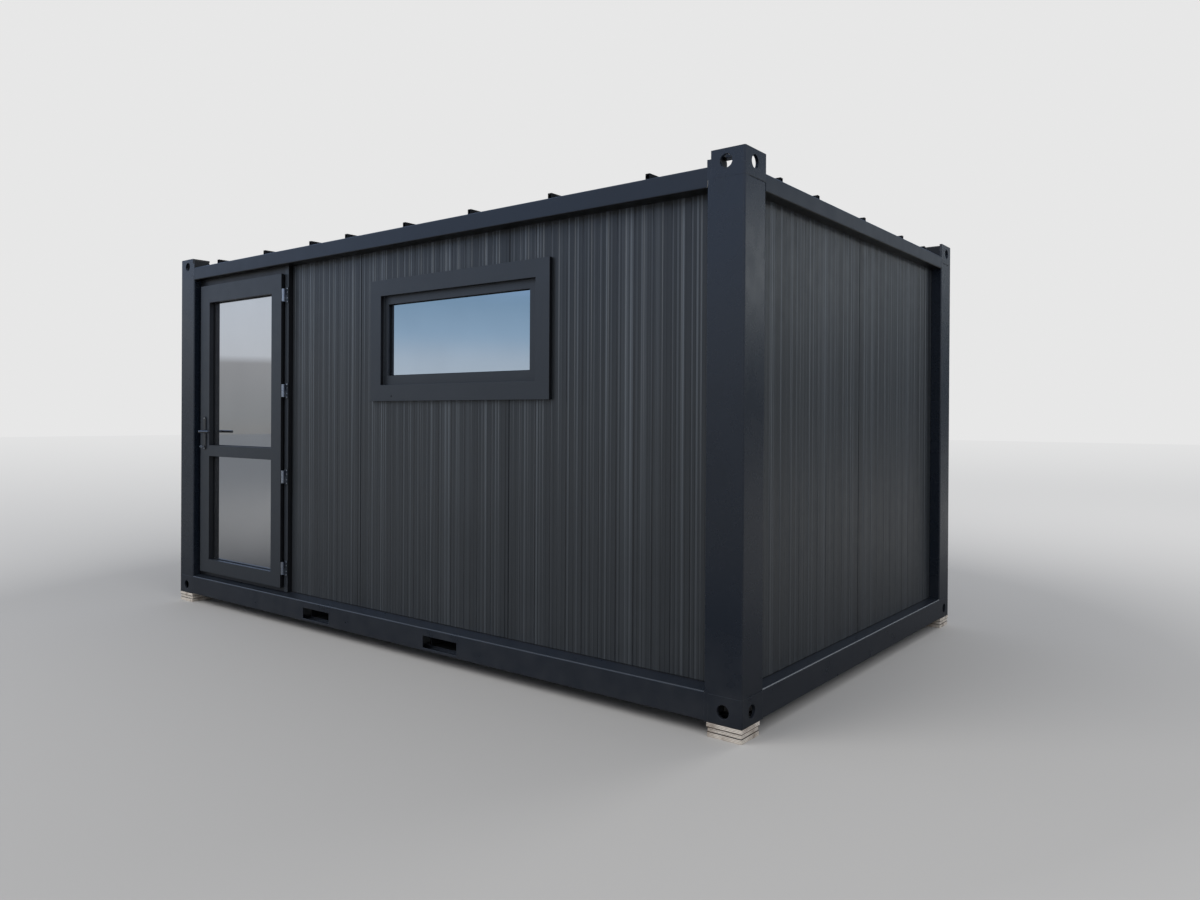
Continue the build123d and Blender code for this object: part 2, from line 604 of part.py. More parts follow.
pane_x0, pane_x1 = x_window_left + SASH_LEFT, x_window_right - SASH_RIGHT
pane_v0, pane_v1 = v_window_low + SASH_LOW, v_window_high - SASH_HIGH
sash = front_block(x_window_left, x_window_right, SASH_FACE, LONG_WALL_BACK, v_window_low, v_window_high)
sash -= front_block(pane_x0, pane_x1, SASH_FACE - PAST, LONG_WALL_BACK + PAST, pane_v0, pane_v1)
sash -= front_block(pane_x0 - REBATE, pane_x1 + REBATE, WINDOW_GLASS_FACE, LONG_WALL_BACK + PAST,
                    pane_v0 - REBATE, pane_v1 + REBATE)
nodes["window_sash"] = sash
nodes["window_glass"] = front_block(pane_x0 - REBATE, pane_x1 + REBATE,
                                    WINDOW_GLASS_FACE, WINDOW_GLASS_FACE + PANE,
                                    pane_v0 - REBATE, pane_v1 + REBATE)


# Plywood packers: three boards stacked under each corner

def packer():
    boards = []
    for n, inset in enumerate(PACKER_INSETS):
        board = block(X_END - PACKER_LENGTH + inset, X_END - inset,
                      -Y_SIDE + inset, -Y_SIDE + PACKER_WIDTH - inset, n * PLY, (n + 1) * PLY)
        boards.append(fillet(board.edges().filter_by(Axis.Z), PACKER_CORNER))
    return boards[0] + boards[1:]


nodes["plywood_packers"] = Compound(list(four_corners(packer()).values()))


os.makedirs("parts", exist_ok=True)
for name, shape in nodes.items():
    export_step(shape, "parts/" + name + ".step")
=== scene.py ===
import bpy
import json
import math
from mathutils import Matrix, Vector


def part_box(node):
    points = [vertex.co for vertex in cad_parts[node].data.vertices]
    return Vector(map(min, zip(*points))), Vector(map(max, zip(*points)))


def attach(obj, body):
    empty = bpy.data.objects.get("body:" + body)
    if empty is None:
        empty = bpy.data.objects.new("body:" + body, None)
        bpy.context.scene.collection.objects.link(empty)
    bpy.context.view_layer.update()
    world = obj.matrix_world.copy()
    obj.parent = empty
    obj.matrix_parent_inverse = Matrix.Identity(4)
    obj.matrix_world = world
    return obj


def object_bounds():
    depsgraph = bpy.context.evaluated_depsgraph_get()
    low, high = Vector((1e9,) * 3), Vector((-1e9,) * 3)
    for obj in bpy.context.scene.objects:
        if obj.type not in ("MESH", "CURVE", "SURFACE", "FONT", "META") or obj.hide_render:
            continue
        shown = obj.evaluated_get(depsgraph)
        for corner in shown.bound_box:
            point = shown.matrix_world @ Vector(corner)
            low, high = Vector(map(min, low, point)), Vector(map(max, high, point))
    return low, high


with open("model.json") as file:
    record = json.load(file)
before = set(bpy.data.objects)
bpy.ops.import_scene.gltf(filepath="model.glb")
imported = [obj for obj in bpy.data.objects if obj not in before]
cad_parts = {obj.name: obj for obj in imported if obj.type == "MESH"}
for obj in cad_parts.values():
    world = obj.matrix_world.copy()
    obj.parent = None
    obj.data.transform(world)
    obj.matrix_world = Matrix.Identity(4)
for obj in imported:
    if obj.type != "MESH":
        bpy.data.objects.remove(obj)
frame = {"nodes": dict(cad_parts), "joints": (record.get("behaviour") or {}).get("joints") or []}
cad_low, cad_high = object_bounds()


# The camera stands in front of the long side, past its right end, at chest height.
# It looks nearly level towards the left, with the picture moved down a little.
EYE = (4.4102, -4.9897, 1.4519)
LOOK_LEFT = math.radians(37.9106)
LOOK_UP = math.radians(-0.2197)
ROLL = math.radians(-0.3248)
LENS = 26.5919
SENSOR = 36.0
PICTURE_SHIFT = -0.0242
FAR_ENOUGH = 300.0

camera_data = bpy.data.cameras.new("camera")
camera = bpy.data.objects.new("camera", camera_data)
camera.location = EYE
camera.rotation_euler = (math.pi / 2 + LOOK_UP, ROLL, LOOK_LEFT)
camera_data.lens = LENS
camera_data.sensor_width = SENSOR
camera_data.shift_y = PICTURE_SHIFT
camera_data.clip_end = FAR_ENOUGH
bpy.context.scene.collection.objects.link(camera)
bpy.context.scene.camera = camera
bpy.context.scene.view_settings.view_transform = "Standard"


# The studio sky lights the object evenly. Paint and glass mirror bands of their own: grey at the
# ground, then pale, then blue, with other bands in five directions. A band is a height and a colour.
# A panel is a name, an azimuth, the angles from it where it starts to fade and is gone, and its bands.
BACKDROP = (0.80, 0.80, 0.80, 1.0)
SKY_AMBIENT = (0.78, 0.82, 0.88, 1.0)
SKY_AMBIENT_STRENGTH = 0.60
OPEN_SKY = (
    (-0.02, (0.30, 0.30, 0.295, 1.0)),
    (0.000, (0.31, 0.32, 0.325, 1.0)),
    (0.056, (0.38, 0.385, 0.395, 1.0)),
    (0.059, (0.66, 0.69, 0.73, 1.0)),
    (0.130, (0.68, 0.73, 0.80, 1.0)),
    (0.180, (0.50, 0.66, 1.00, 1.0)),
    (0.450, (0.50, 0.66, 1.00, 1.0)),
    (1.000, (0.30, 0.36, 0.46, 1.0)),
)
SKY_PANELS = (
    ("beside_window", -136.5, 6.5, 9.5, (
        (-0.02, (0.34, 0.34, 0.33, 1.0)),
        (0.030, (0.72, 0.73, 0.73, 1.0)),
        (0.065, (0.62, 0.67, 0.71, 1.0)),
        (0.090, (0.44, 0.56, 0.66, 1.0)),
        (0.130, (0.32, 0.45, 0.56, 1.0)),
        (0.180, (0.50, 0.66, 1.00, 1.0)),
        (0.450, (0.50, 0.66, 1.00, 1.0)),
        (1.000, (0.30, 0.38, 0.48, 1.0)),
    )),
    ("in_front", -97.0, 12.0, 19.0, (
        (-0.02, (0.30, 0.30, 0.30, 1.0)),
        (0.060, (0.60, 0.64, 0.70, 1.0)),
        (0.160, (0.95, 0.98, 1.00, 1.0)),
        (0.320, (0.95, 0.98, 1.00, 1.0)),
        (0.500, (0.36, 0.47, 0.70, 1.0)),
        (1.000, (0.30, 0.36, 0.46, 1.0)),
    )),
    ("beyond_end", 62.0, 18.0, 30.0, (
        (-0.02, (0.16, 0.17, 0.18, 1.0)),
        (0.000, (0.09, 0.11, 0.14, 1.0)),
        (0.085, (0.12, 0.145, 0.18, 1.0)),
        (0.138, (1.25, 1.33, 1.38, 1.0)),
        (0.195, (1.25, 1.33, 1.38, 1.0)),
        (0.250, (0.16, 0.21, 0.30, 1.0)),
        (0.450, (0.20, 0.26, 0.38, 1.0)),
        (1.000, (0.30, 0.36, 0.46, 1.0)),
    )),
    ("beyond_rear", 77.0, 6.5, 9.5, (
        (-0.02, (0.12, 0.13, 0.14, 1.0)),
        (0.000, (0.08, 0.10, 0.12, 1.0)),
        (0.250, (0.12, 0.15, 0.19, 1.0)),
        (1.000, (0.30, 0.36, 0.46, 1.0)),
    )),
    ("right_hand", 20.0, 14.0, 22.0, (
        (-0.02, (0.40, 0.42, 0.45, 1.0)),
        (0.200, (0.90, 0.94, 1.00, 1.0)),
        (1.000, (0.30, 0.36, 0.46, 1.0)),
    )),
)


def add_node(tree, kind, options=None, **inputs):
    """A new shader node, with its options set and its inputs fed from values or sockets."""
    made = tree.nodes.new("ShaderNode" + kind)
    for key, value in (options or {}).items():
        setattr(made, key, value)
    for label, value in inputs.items():
        feed(tree, made.inputs[label.replace("_", " ")], value)
    return made


def feed(tree, socket, value):
    if isinstance(value, bpy.types.NodeSocket):
        tree.links.new(value, socket)
    else:
        socket.default_value = value


def math_node(tree, operation, first, second=0.0, third=0.0, clamped=False):
    made = tree.nodes.new("ShaderNodeMath")
    made.operation = operation
    made.use_clamp = clamped
    for n, value in enumerate((first, second, third)):
        feed(tree, made.inputs[n], value)
    return made.outputs[0]


def mixed(tree, share, first, second):
    """The first colour, with a share of the second one over it."""
    made = tree.nodes.new("ShaderNodeMix")
    made.data_type = "RGBA"
    feed(tree, made.inputs[0], share)
    feed(tree, made.inputs[6], first)
    feed(tree, made.inputs[7], second)
    return made.outputs[2]


def smooth_step(tree, value, low, high):
    """0 below the low value, 1 above the high one, and a smooth rise between."""
    made = add_node(tree, "MapRange", {"interpolation_type": "SMOOTHSTEP"}, Value=value)
    made.inputs["From Min"].default_value = low
    made.inputs["From Max"].default_value = high
    return made.outputs["Result"]


def sky_bands(tree, level, bands):
    """Colours by height, where level runs from 0 straight down to 1 straight up."""
    made = tree.nodes.new("ShaderNodeValToRGB")
    stops = [((height + 1) / 2, colour) for height, colour in bands]
    elements = made.color_ramp.elements
    elements[0].position, elements[0].color = stops[0]
    elements[1].position, elements[1].color = stops[-1]
    for place, colour in stops[1:-1]:
        elements.new(place).color = colour
    tree.links.new(level, made.inputs[0])
    return made.outputs[0]


def make_sky():
    world = bpy.data.worlds.new("studio_sky")
    bpy.context.scene.world = world
    world.use_nodes = True
    tree = world.node_tree
    tree.nodes.clear()
    rays = add_node(tree, "LightPath").outputs
    direction = add_node(tree, "TexCoord").outputs["Generated"]
    height = add_node(tree, "SeparateXYZ", Vector=direction).outputs["Z"]
    level = math_node(tree, "MULTIPLY_ADD", height, 0.5, 0.5)
    flat = add_node(tree, "VectorMath", {"operation": "MULTIPLY"})
    feed(tree, flat.inputs[0], direction)
    flat.inputs[1].default_value = (1.0, 1.0, 0.0)
    heading = add_node(tree, "VectorMath", {"operation": "NORMALIZE"})
    feed(tree, heading.inputs[0], flat.outputs[0])
    mirrored = sky_bands(tree, level, OPEN_SKY)
    for label, azimuth, inner, outer, bands in SKY_PANELS:
        towards = add_node(tree, "VectorMath", {"operation": "DOT_PRODUCT", "label": label})
        feed(tree, towards.inputs[0], heading.outputs[0])
        angle = math.radians(azimuth)
        towards.inputs[1].default_value = (math.cos(angle), math.sin(angle), 0.0)
        share = smooth_step(tree, towards.outputs["Value"],
                            math.cos(math.radians(outer)), math.cos(math.radians(inner)))
        mirrored = mixed(tree, share, mirrored, sky_bands(tree, level, bands))
    seen = mixed(tree, rays["Is Camera Ray"], mirrored, BACKDROP)
    plain = math_node(tree, "MAXIMUM", rays["Is Camera Ray"], rays["Is Glossy Ray"])
    plain = math_node(tree, "MAXIMUM", plain, rays["Is Transmission Ray"])
    backdrop = add_node(tree, "Background", Color=seen, Strength=1.0)
    ambient = add_node(tree, "Background", Color=SKY_AMBIENT, Strength=SKY_AMBIENT_STRENGTH)
    both = add_node(tree, "MixShader")
    feed(tree, both.inputs[0], plain)
    feed(tree, both.inputs[1], ambient.outputs[0])
    feed(tree, both.inputs[2], backdrop.outputs[0])
    add_node(tree, "OutputWorld", Surface=both.outputs[0])


make_sky()


# The floor is one pale sheet that keeps the object's shadow.
# For the camera it fades into the backdrop away from the object, so that no horizon shows.
# In the paint and the glass it shows a painted shade near the object, which fades out far away and partly
# beside its right end.
FLOOR_HALF = 60.0
FLOOR_GREY = (0.45, 0.44, 0.43, 1.0)
FLOOR_MIRRORED_PAINTED_SHADE = (0.100, 0.096, 0.090, 1.0)
FLOOR_MIRRORED_FAR = (0.52, 0.505, 0.475, 1.0)
BESIDE_FROM, BESIDE_TO, BESIDE_SHARE = 2.6, 4.5, 0.45
FLOOR_ROUGHNESS = 0.85
FADE_START = 4.2


def clear_selection():
    bpy.ops.object.select_all(action="DESELECT")


def set_apart(made, name):
    """Names a finished piece, with its place in its mesh."""
    clear_selection()
    made.select_set(True)
    bpy.context.view_layer.objects.active = made
    bpy.ops.object.transform_apply(location=True, rotation=True, scale=True)
    made.name = name
    made.data.name = name
    return made


def floor_finish():
    made = bpy.data.materials.new("studio_floor")
    made.use_nodes = True
    tree = made.node_tree
    shader = tree.nodes["Principled BSDF"]
    shader.inputs["Roughness"].default_value = FLOOR_ROUGHNESS
    place = add_node(tree, "TexCoord").outputs["Object"]
    distance = add_node(tree, "VectorMath", {"operation": "LENGTH"})
    feed(tree, distance.inputs[0], place)
    near = math_node(tree, "DIVIDE", FADE_START, distance.outputs["Value"], clamped=True)
    far = math_node(tree, "SUBTRACT", 1.0, near)
    rays = add_node(tree, "LightPath").outputs
    along = add_node(tree, "SeparateXYZ", Vector=place).outputs["X"]
    beside = math_node(tree, "MULTIPLY", smooth_step(tree, along, BESIDE_FROM, BESIDE_TO), BESIDE_SHARE)
    paler = math_node(tree, "MAXIMUM", far, beside)
    # Painted shade: as mirrored, the floor is darker near the object and lighter far away and beside the
    # right end.
    mirrored = mixed(tree, paler, FLOOR_MIRRORED_PAINTED_SHADE, FLOOR_MIRRORED_FAR)
    feed(tree, shader.inputs["Base Color"], mixed(tree, rays["Is Glossy Ray"], FLOOR_GREY, mirrored))
    share = math_node(tree, "MULTIPLY", far, rays["Is Camera Ray"])
    glow = add_node(tree, "Emission", Color=BACKDROP, Strength=1.0)
    both = add_node(tree, "MixShader")
    feed(tree, both.inputs[0], share)
    feed(tree, both.inputs[1], shader.outputs[0])
    feed(tree, both.inputs[2], glow.outputs[0])
    tree.links.new(both.outputs[0], tree.nodes["Material Output"].inputs[0])
    return made


clear_selection()
bpy.ops.mesh.primitive_plane_add(size=2 * FLOOR_HALF)
floor = set_apart(bpy.context.object, "studio_floor")
floor.data.materials.append(floor_finish())


# Three wide soft lamps, all high: before the front, before the right end and behind the rear.
# They light the surfaces only, and the mirrored sky gives the gloss.
LAMPS = (
    ("front_lamp", (-2.5, -9.0, 8.5), (0.0, -1.5, 1.2), 8.0, 720.0),
    ("end_lamp", (10.5, -3.5, 7.5), (2.5, 0.0, 1.4), 6.0, 260.0),
    ("rear_lamp", (4.0, 9.5, 8.5), (1.5, 2.5, 0.5), 8.0, 520.0),
)
LAMP_TINT = (1.0, 0.99, 0.97)

for name, place, target, size, watts in LAMPS:
    lamp = bpy.data.lights.new(name, "AREA")
    lamp.shape = "DISK"
    lamp.size = size
    lamp.energy = watts
    lamp.color = LAMP_TINT
    holder = bpy.data.objects.new(name, lamp)
    holder.location = place
    holder.rotation_euler = (Vector(target) - Vector(place)).to_track_quat("-Z", "Y").to_euler()
    holder.visible_glossy = False
    bpy.context.scene.collection.objects.link(holder)


# Packers: three birch plywood boards under each corner, laid loose on the ground.
# Each board shows thin light and dark veneers on its sawn edges, and damp marks.
VENEER, BOARD, BOARD_GAP = 0.0032, 0.0225, 0.0021
VENEER_WANDER, WANDER_SCALE = 0.0016, 22.0
FIBRE_STRETCH = (90.0, 90.0, 900.0)
FIBRE_SHARE = 0.40
GLUE_LINE, GLUE_SHARE = 0.16, 0.8
DAMP_SCALE, DAMP_FROM, DAMP_GAIN = 14.0, 0.45, 3.0
VENEER_RELIEF, VENEER_STEP = 0.35, 0.0012
BIRCH = (0.60, 0.52, 0.43, 1.0)
BIRCH_PALE = (0.93, 0.89, 0.83, 1.0)
BIRCH_DARK = (0.13, 0.085, 0.055, 1.0)
BIRCH_JOINT = (0.018, 0.013, 0.010, 1.0)
BIRCH_ROUGHNESS = 0.72


def new_finish(name):
    """An empty material with its shader, ready to be fed."""
    made = bpy.data.materials.new(name)
    made.use_nodes = True
    tree = made.node_tree
    tree.nodes.clear()
    shader = tree.nodes.new("ShaderNodeBsdfPrincipled")
    output = tree.nodes.new("ShaderNodeOutputMaterial")
    tree.links.new(shader.outputs[0], output.inputs[0])
    return made, tree, shader


def dress(node_name, finish):
    """Gives a solid of the frame its finish."""
    slots = frame["nodes"][node_name].data.materials
    if not slots:
        slots.append(finish)
    for n in range(len(slots)):
        slots[n] = finish


def plywood():
    made, tree, shader = new_finish("birch_plywood")
    place = add_node(tree, "TexCoord").outputs["Object"]
    height = add_node(tree, "SeparateXYZ", Vector=place).outputs["Z"]
    wander = add_node(tree, "TexNoise", Vector=place, Scale=WANDER_SCALE, Detail=3.0).outputs["Fac"]
    waved = math_node(tree, "MULTIPLY_ADD", wander, VENEER_WANDER, height)
    ply = math_node(tree, "DIVIDE", math_node(tree, "PINGPONG", waved, VENEER), VENEER)
    long_grain = add_node(tree, "Mapping", Vector=place)
    long_grain.inputs["Scale"].default_value = FIBRE_STRETCH
    fibres = add_node(tree, "TexNoise", Vector=long_grain.outputs[0], Scale=1.0, Detail=6.0).outputs["Fac"]
    veneers = mixed(tree, ply, BIRCH_PALE, BIRCH)
    veneers = mixed(tree, math_node(tree, "MULTIPLY", fibres, FIBRE_SHARE), veneers, BIRCH_DARK)
    glue = math_node(tree, "GREATER_THAN", ply, 1.0 - GLUE_LINE)
    veneers = mixed(tree, math_node(tree, "MULTIPLY", glue, GLUE_SHARE), veneers, BIRCH_DARK)
    in_board = math_node(tree, "MODULO", math_node(tree, "ADD", height, BOARD / 2), BOARD)
    from_joint = math_node(tree, "ABSOLUTE", math_node(tree, "SUBTRACT", in_board, BOARD / 2))
    joint = math_node(tree, "LESS_THAN", from_joint, BOARD_GAP)
    joint = math_node(tree, "MULTIPLY", joint, math_node(tree, "GREATER_THAN", height, BOARD / 2))
    colour = mixed(tree, joint, veneers, BIRCH_JOINT)
    damp = add_node(tree, "TexNoise", Vector=place, Scale=DAMP_SCALE, Detail=5.0).outputs["Fac"]
    damp = math_node(tree, "SUBTRACT", damp, DAMP_FROM, clamped=True)
    damp = math_node(tree, "MULTIPLY", damp, DAMP_GAIN, clamped=True)
    feed(tree, shader.inputs["Base Color"], mixed(tree, damp, colour, BIRCH_DARK))
    shader.inputs["Roughness"].default_value = BIRCH_ROUGHNESS
    bump = add_node(tree, "Bump", Strength=VENEER_RELIEF, Distance=VENEER_STEP, Height=ply)
    feed(tree, shader.inputs["Normal"], bump.outputs[0])
    return made


dress("plywood_packers", plywood())


# The steel frame: folded sheet posts and rails, welded and sprayed in satin anthracite, a little
# uneven, paler where edges were handled and dusty near the ground. Each casting is a box of thick
# plate; thinner plates close it next to the rail and close the inner sides of the upper rear ones.
# Painted shade: the insides of the castings, their open joints, the undersides of the top rails, the fork
# pockets, the roof tabs and the plates inside the castings are painted near black.
STEEL_PAINT = (0.0080, 0.0120, 0.0200, 1.0)
STEEL_WORN = (0.050, 0.058, 0.072, 1.0)
STEEL_PAINTED_SHADE = (0.004, 0.0045, 0.0055, 1.0)
DUST = (0.085, 0.083, 0.080, 1.0)
STEEL_ROUGHNESS = 0.27
DULL_ROUGHNESS = 0.5
CLOUD_SCALE, PATCH_SCALE, PEEL_SCALE = 1.7, 11.0, 420.0
PEEL_DEPTH = 0.0006
TONE_LEAST, TONE_RANGE = 0.82, 0.36
EDGE_GAIN, RUB_GAIN = 4.0, 1.7
SMOOTHER, ROUGH_RANGE, ROUGH_BY_DUST = 0.08, 0.16, 0.5
CORNERS = ("front_right", "front_left", "rear_right", "rear_left")
SIDES = ("front", "rear", "right", "left")
PLATE = 0.016
HAIR = 0.0005
TURNED = 0.5
JOINT_HALF, JOINT_FROM_CORNER, JOINT_REACH = 0.0020, 0.036, 0.25
# The bottom rails' outer fold takes a painted highlight where it faces up.
FOLD_WIDTH, FOLD_ON_SIDE = 0.012, 0.22
FOLD_FACING = (0.45, 0.93)
FOLD_PAINTED_HIGHLIGHT = (0.16, 0.17, 0.18, 1.0)


def new_group(name, inputs, outputs):
    """An empty node group with its sockets, and its inner input and output nodes."""
    tree = bpy.data.node_groups.new(name, "ShaderNodeTree")
    for label, kind, value in inputs:
        socket = tree.interface.new_socket(label, in_out="INPUT", socket_type="NodeSocket" + kind)
        socket.default_value = value
    for label, kind in outputs:
        tree.interface.new_socket(label, in_out="OUTPUT", socket_type="NodeSocket" + kind)
    return tree, tree.nodes.new("NodeGroupInput").outputs, tree.nodes.new("NodeGroupOutput").inputs


def coat_group():
    """Sprayed paint: uneven colour, an orange peel skin, rubbed edges and dust from below."""
    tree, given, result = new_group(
        "sprayed_coat",
        [("Paint", "Color", STEEL_PAINT), ("Worn", "Color", STEEL_WORN), ("Dust", "Color", DUST),
         ("Roughness", "Float", STEEL_ROUGHNESS), ("Edge", "Float", 0.004), ("Wear", "Float", 0.5),
         ("Dust height", "Float", 0.5), ("Dust share", "Float", 0.3), ("Peel", "Float", 0.15)],
        [("Color", "Color"), ("Roughness", "Float"), ("Normal", "Vector")])
    place = add_node(tree, "TexCoord").outputs["Object"]
    clouds = add_node(tree, "TexNoise", Vector=place, Scale=CLOUD_SCALE, Detail=4.0).outputs["Fac"]
    patches = add_node(tree, "TexNoise", Vector=place, Scale=PATCH_SCALE, Detail=5.0).outputs["Fac"]
    peel = add_node(tree, "TexNoise", Vector=place, Scale=PEEL_SCALE, Detail=2.0).outputs["Fac"]

    bevel = add_node(tree, "Bevel", {"samples": 4}, Radius=given["Edge"])
    along = add_node(tree, "VectorMath", {"operation": "DOT_PRODUCT"})
    feed(tree, along.inputs[0], bevel.outputs[0])
    feed(tree, along.inputs[1], add_node(tree, "NewGeometry").outputs["Normal"])
    turned = math_node(tree, "SUBTRACT", 1.0, along.outputs["Value"])
    edge = math_node(tree, "MULTIPLY", turned, EDGE_GAIN, clamped=True)
    patchy = math_node(tree, "MULTIPLY", patches, RUB_GAIN)
    rubbed = math_node(tree, "MULTIPLY", edge, patchy, clamped=True)
    rubbed = math_node(tree, "MULTIPLY", rubbed, given["Wear"])

    tinted = add_node(tree, "VectorMath", {"operation": "SCALE"})
    feed(tree, tinted.inputs[0], given["Paint"])
    feed(tree, tinted.inputs["Scale"], math_node(tree, "MULTIPLY_ADD", clouds, TONE_RANGE, TONE_LEAST))
    colour = mixed(tree, rubbed, tinted.outputs[0], given["Worn"])

    height = add_node(tree, "SeparateXYZ", Vector=place).outputs["Z"]
    risen = math_node(tree, "DIVIDE", height, given["Dust height"])
    low = math_node(tree, "SUBTRACT", 1.0, risen, clamped=True)
    dusty = math_node(tree, "MULTIPLY", math_node(tree, "MULTIPLY", low, patches), given["Dust share"])
    feed(tree, result["Color"], mixed(tree, dusty, colour, given["Dust"]))

    smooth = math_node(tree, "SUBTRACT", given["Roughness"], SMOOTHER)
    rough = math_node(tree, "MULTIPLY_ADD", patches, ROUGH_RANGE, smooth)
    feed(tree, result["Roughness"], math_node(tree, "MULTIPLY_ADD", dusty, ROUGH_BY_DUST, rough))

    skin = add_node(tree, "Bump", Strength=given["Peel"], Distance=PEEL_DEPTH, Height=peel,
                    Normal=bevel.outputs[0])
    feed(tree, result["Normal"], skin.outputs[0])
    return tree


sprayed_coat = coat_group()


def coated(name, paint, worn, roughness, edge=0.004, wear=0.5, dust_height=0.5, dust_share=0.3,
           peel=0.15, sheen=0.5):
    """A material in the sprayed coat, with this piece's own values."""
    made, tree, shader = new_finish(name)
    coat = tree.nodes.new("ShaderNodeGroup")
    coat.node_tree = sprayed_coat
    values = {"Paint": paint, "Worn": worn, "Roughness": roughness, "Edge": edge, "Wear": wear,
              "Dust height": dust_height, "Dust share": dust_share, "Peel": peel}
    for label, value in values.items():
        coat.inputs[label].default_value = value
    for label, socket in (("Color", "Base Color"), ("Roughness", "Roughness"), ("Normal", "Normal")):
        tree.links.new(coat.outputs[label], shader.inputs[socket])
    shader.inputs["Specular IOR Level"].default_value = sheen
    return made


def cover(finish, mask_of, colour, over_metal=False):
    """Lays another colour, not a metal, over a finish wherever a mask of place and facing says so."""
    tree = finish.node_tree
    sockets = tree.nodes["Principled BSDF"].inputs
    below = sockets["Base Color"].links[0].from_socket
    sources = add_node(tree, "TexCoord").outputs
    place = add_node(tree, "SeparateXYZ", Vector=sources["Object"]).outputs
    facing = add_node(tree, "SeparateXYZ", Vector=sources["Normal"]).outputs
    mask = mask_of(tree, place, facing)
    feed(tree, sockets["Base Color"], mixed(tree, mask, below, colour))
    if over_metal:
        feed(tree, sockets["Metallic"], math_node(tree, "SUBTRACT", 1.0, mask))


def between(tree, value, low, high):
    """1 where a value lies between two limits, and 0 elsewhere."""
    above = math_node(tree, "GREATER_THAN", value, low)
    return math_node(tree, "MULTIPLY", above, math_node(tree, "LESS_THAN", value, high))


def size_of(tree, value):
    return math_node(tree, "ABSOLUTE", value)


def both_of(tree, first, second):
    return math_node(tree, "MULTIPLY", first, second)


def either_of(tree, first, second):
    return math_node(tree, "MAXIMUM", first, second)


END_FACE = cad_high.x
SIDE_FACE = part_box("top_rail_rear")[1].y


def casting_inside(tree, place, facing):
    behind_end = math_node(tree, "LESS_THAN", size_of(tree, place["X"]), END_FACE - PLATE + HAIR)
    behind_side = math_node(tree, "LESS_THAN", size_of(tree, place["Y"]), SIDE_FACE - PLATE + HAIR)
    return both_of(tree, behind_end, behind_side)


def casting_joint(tree, place, facing):
    """Painted shade in the open joints on the end face of an upper casting: along its foot, and a short
    way up.
    """
    offset = math_node(tree, "SUBTRACT", size_of(tree, place["Y"]), SIDE_FACE - JOINT_FROM_CORNER)
    on_line = math_node(tree, "LESS_THAN", size_of(tree, offset), JOINT_HALF)
    low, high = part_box("top_casting_front_right")
    low_part = between(tree, place["Z"], low.z, low.z + (high.z - low.z) * JOINT_REACH)
    at_foot = between(tree, place["Z"], low.z - JOINT_HALF, low.z + 2 * JOINT_HALF)
    joints = either_of(tree, both_of(tree, on_line, low_part), at_foot)
    on_end = math_node(tree, "GREATER_THAN", size_of(tree, place["X"]), END_FACE - 2 * HAIR)
    return both_of(tree, joints, on_end)


def underside(tree, place, facing):
    return math_node(tree, "LESS_THAN", facing["Z"], -TURNED)


def bottom_fold_highlight(tree, place, facing):
    """A painted highlight on the outer fold along the top of a bottom rail where it faces up, full at the
    two ends.
    """
    at_end = math_node(tree, "GREATER_THAN", size_of(tree, place["X"]), END_FACE - FOLD_WIDTH)
    at_side = math_node(tree, "GREATER_THAN", size_of(tree, place["Y"]), SIDE_FACE - FOLD_WIDTH)
    share = either_of(tree, at_end, math_node(tree, "MULTIPLY", at_side, FOLD_ON_SIDE))
    return both_of(tree, share, between(tree, facing["Z"], *FOLD_FACING))


post_paint = coated("anthracite_post_paint", STEEL_PAINT, STEEL_WORN, STEEL_ROUGHNESS)
casting_paint = coated("anthracite_casting_paint", STEEL_PAINT, STEEL_WORN, STEEL_ROUGHNESS,
                       edge=0.003, wear=0.8)
# Painted shade: the insides of the castings and their open joints are painted near black.
cover(casting_paint, casting_inside, STEEL_PAINTED_SHADE)
cover(casting_paint, casting_joint, STEEL_PAINTED_SHADE)
top_rail_paint = coated("anthracite_top_rail_paint", STEEL_PAINT, STEEL_WORN, roughness=0.36, sheen=0.45)
# Painted shade: the undersides of the top rails are painted near black.
cover(top_rail_paint, underside, STEEL_PAINTED_SHADE)
bottom_rail_paint = coated("anthracite_bottom_rail_paint", STEEL_PAINT, STEEL_WORN, STEEL_ROUGHNESS,
                           wear=0.8)
# Painted highlight along the upward-facing outer fold of the bottom rails.
cover(bottom_rail_paint, bottom_fold_highlight, FOLD_PAINTED_HIGHLIGHT)
# Painted shade: the fork pockets and the roof tabs are painted near black.
pocket_paint = coated("anthracite_pocket_paint", STEEL_PAINTED_SHADE, STEEL_PAINT, DULL_ROUGHNESS)
tab_paint = coated("anthracite_tab_paint", STEEL_PAINTED_SHADE, STEEL_PAINT, DULL_ROUGHNESS,
                   edge=0.001, sheen=0.15)
for corner in CORNERS:
    dress("corner_post_" + corner, post_paint)
    dress("top_casting_" + corner, casting_paint)
    dress("bottom_casting_" + corner, casting_paint)
for side in SIDES:
    dress("bottom_rail_" + side, bottom_rail_paint)
    dress("top_rail_" + side, top_rail_paint)
dress("fork_pocket_left", pocket_paint)
dress("fork_pocket_right", pocket_paint)
dress("roof_tabs", tab_paint)

SIDE_PLATE = 0.006
SIDE_PLATE_REACH = 0.119
SIDE_PLATE_CUT = 0.012


def in_edit_mode(made, mode="FACE"):
    clear_selection()
    made.select_set(True)
    bpy.context.view_layer.objects.active = made
    bpy.ops.object.mode_set(mode="EDIT")
    bpy.ops.mesh.select_mode(type=mode)
    bpy.ops.mesh.select_all(action="SELECT")


def in_object_mode():
    bpy.ops.object.mode_set(mode="OBJECT")


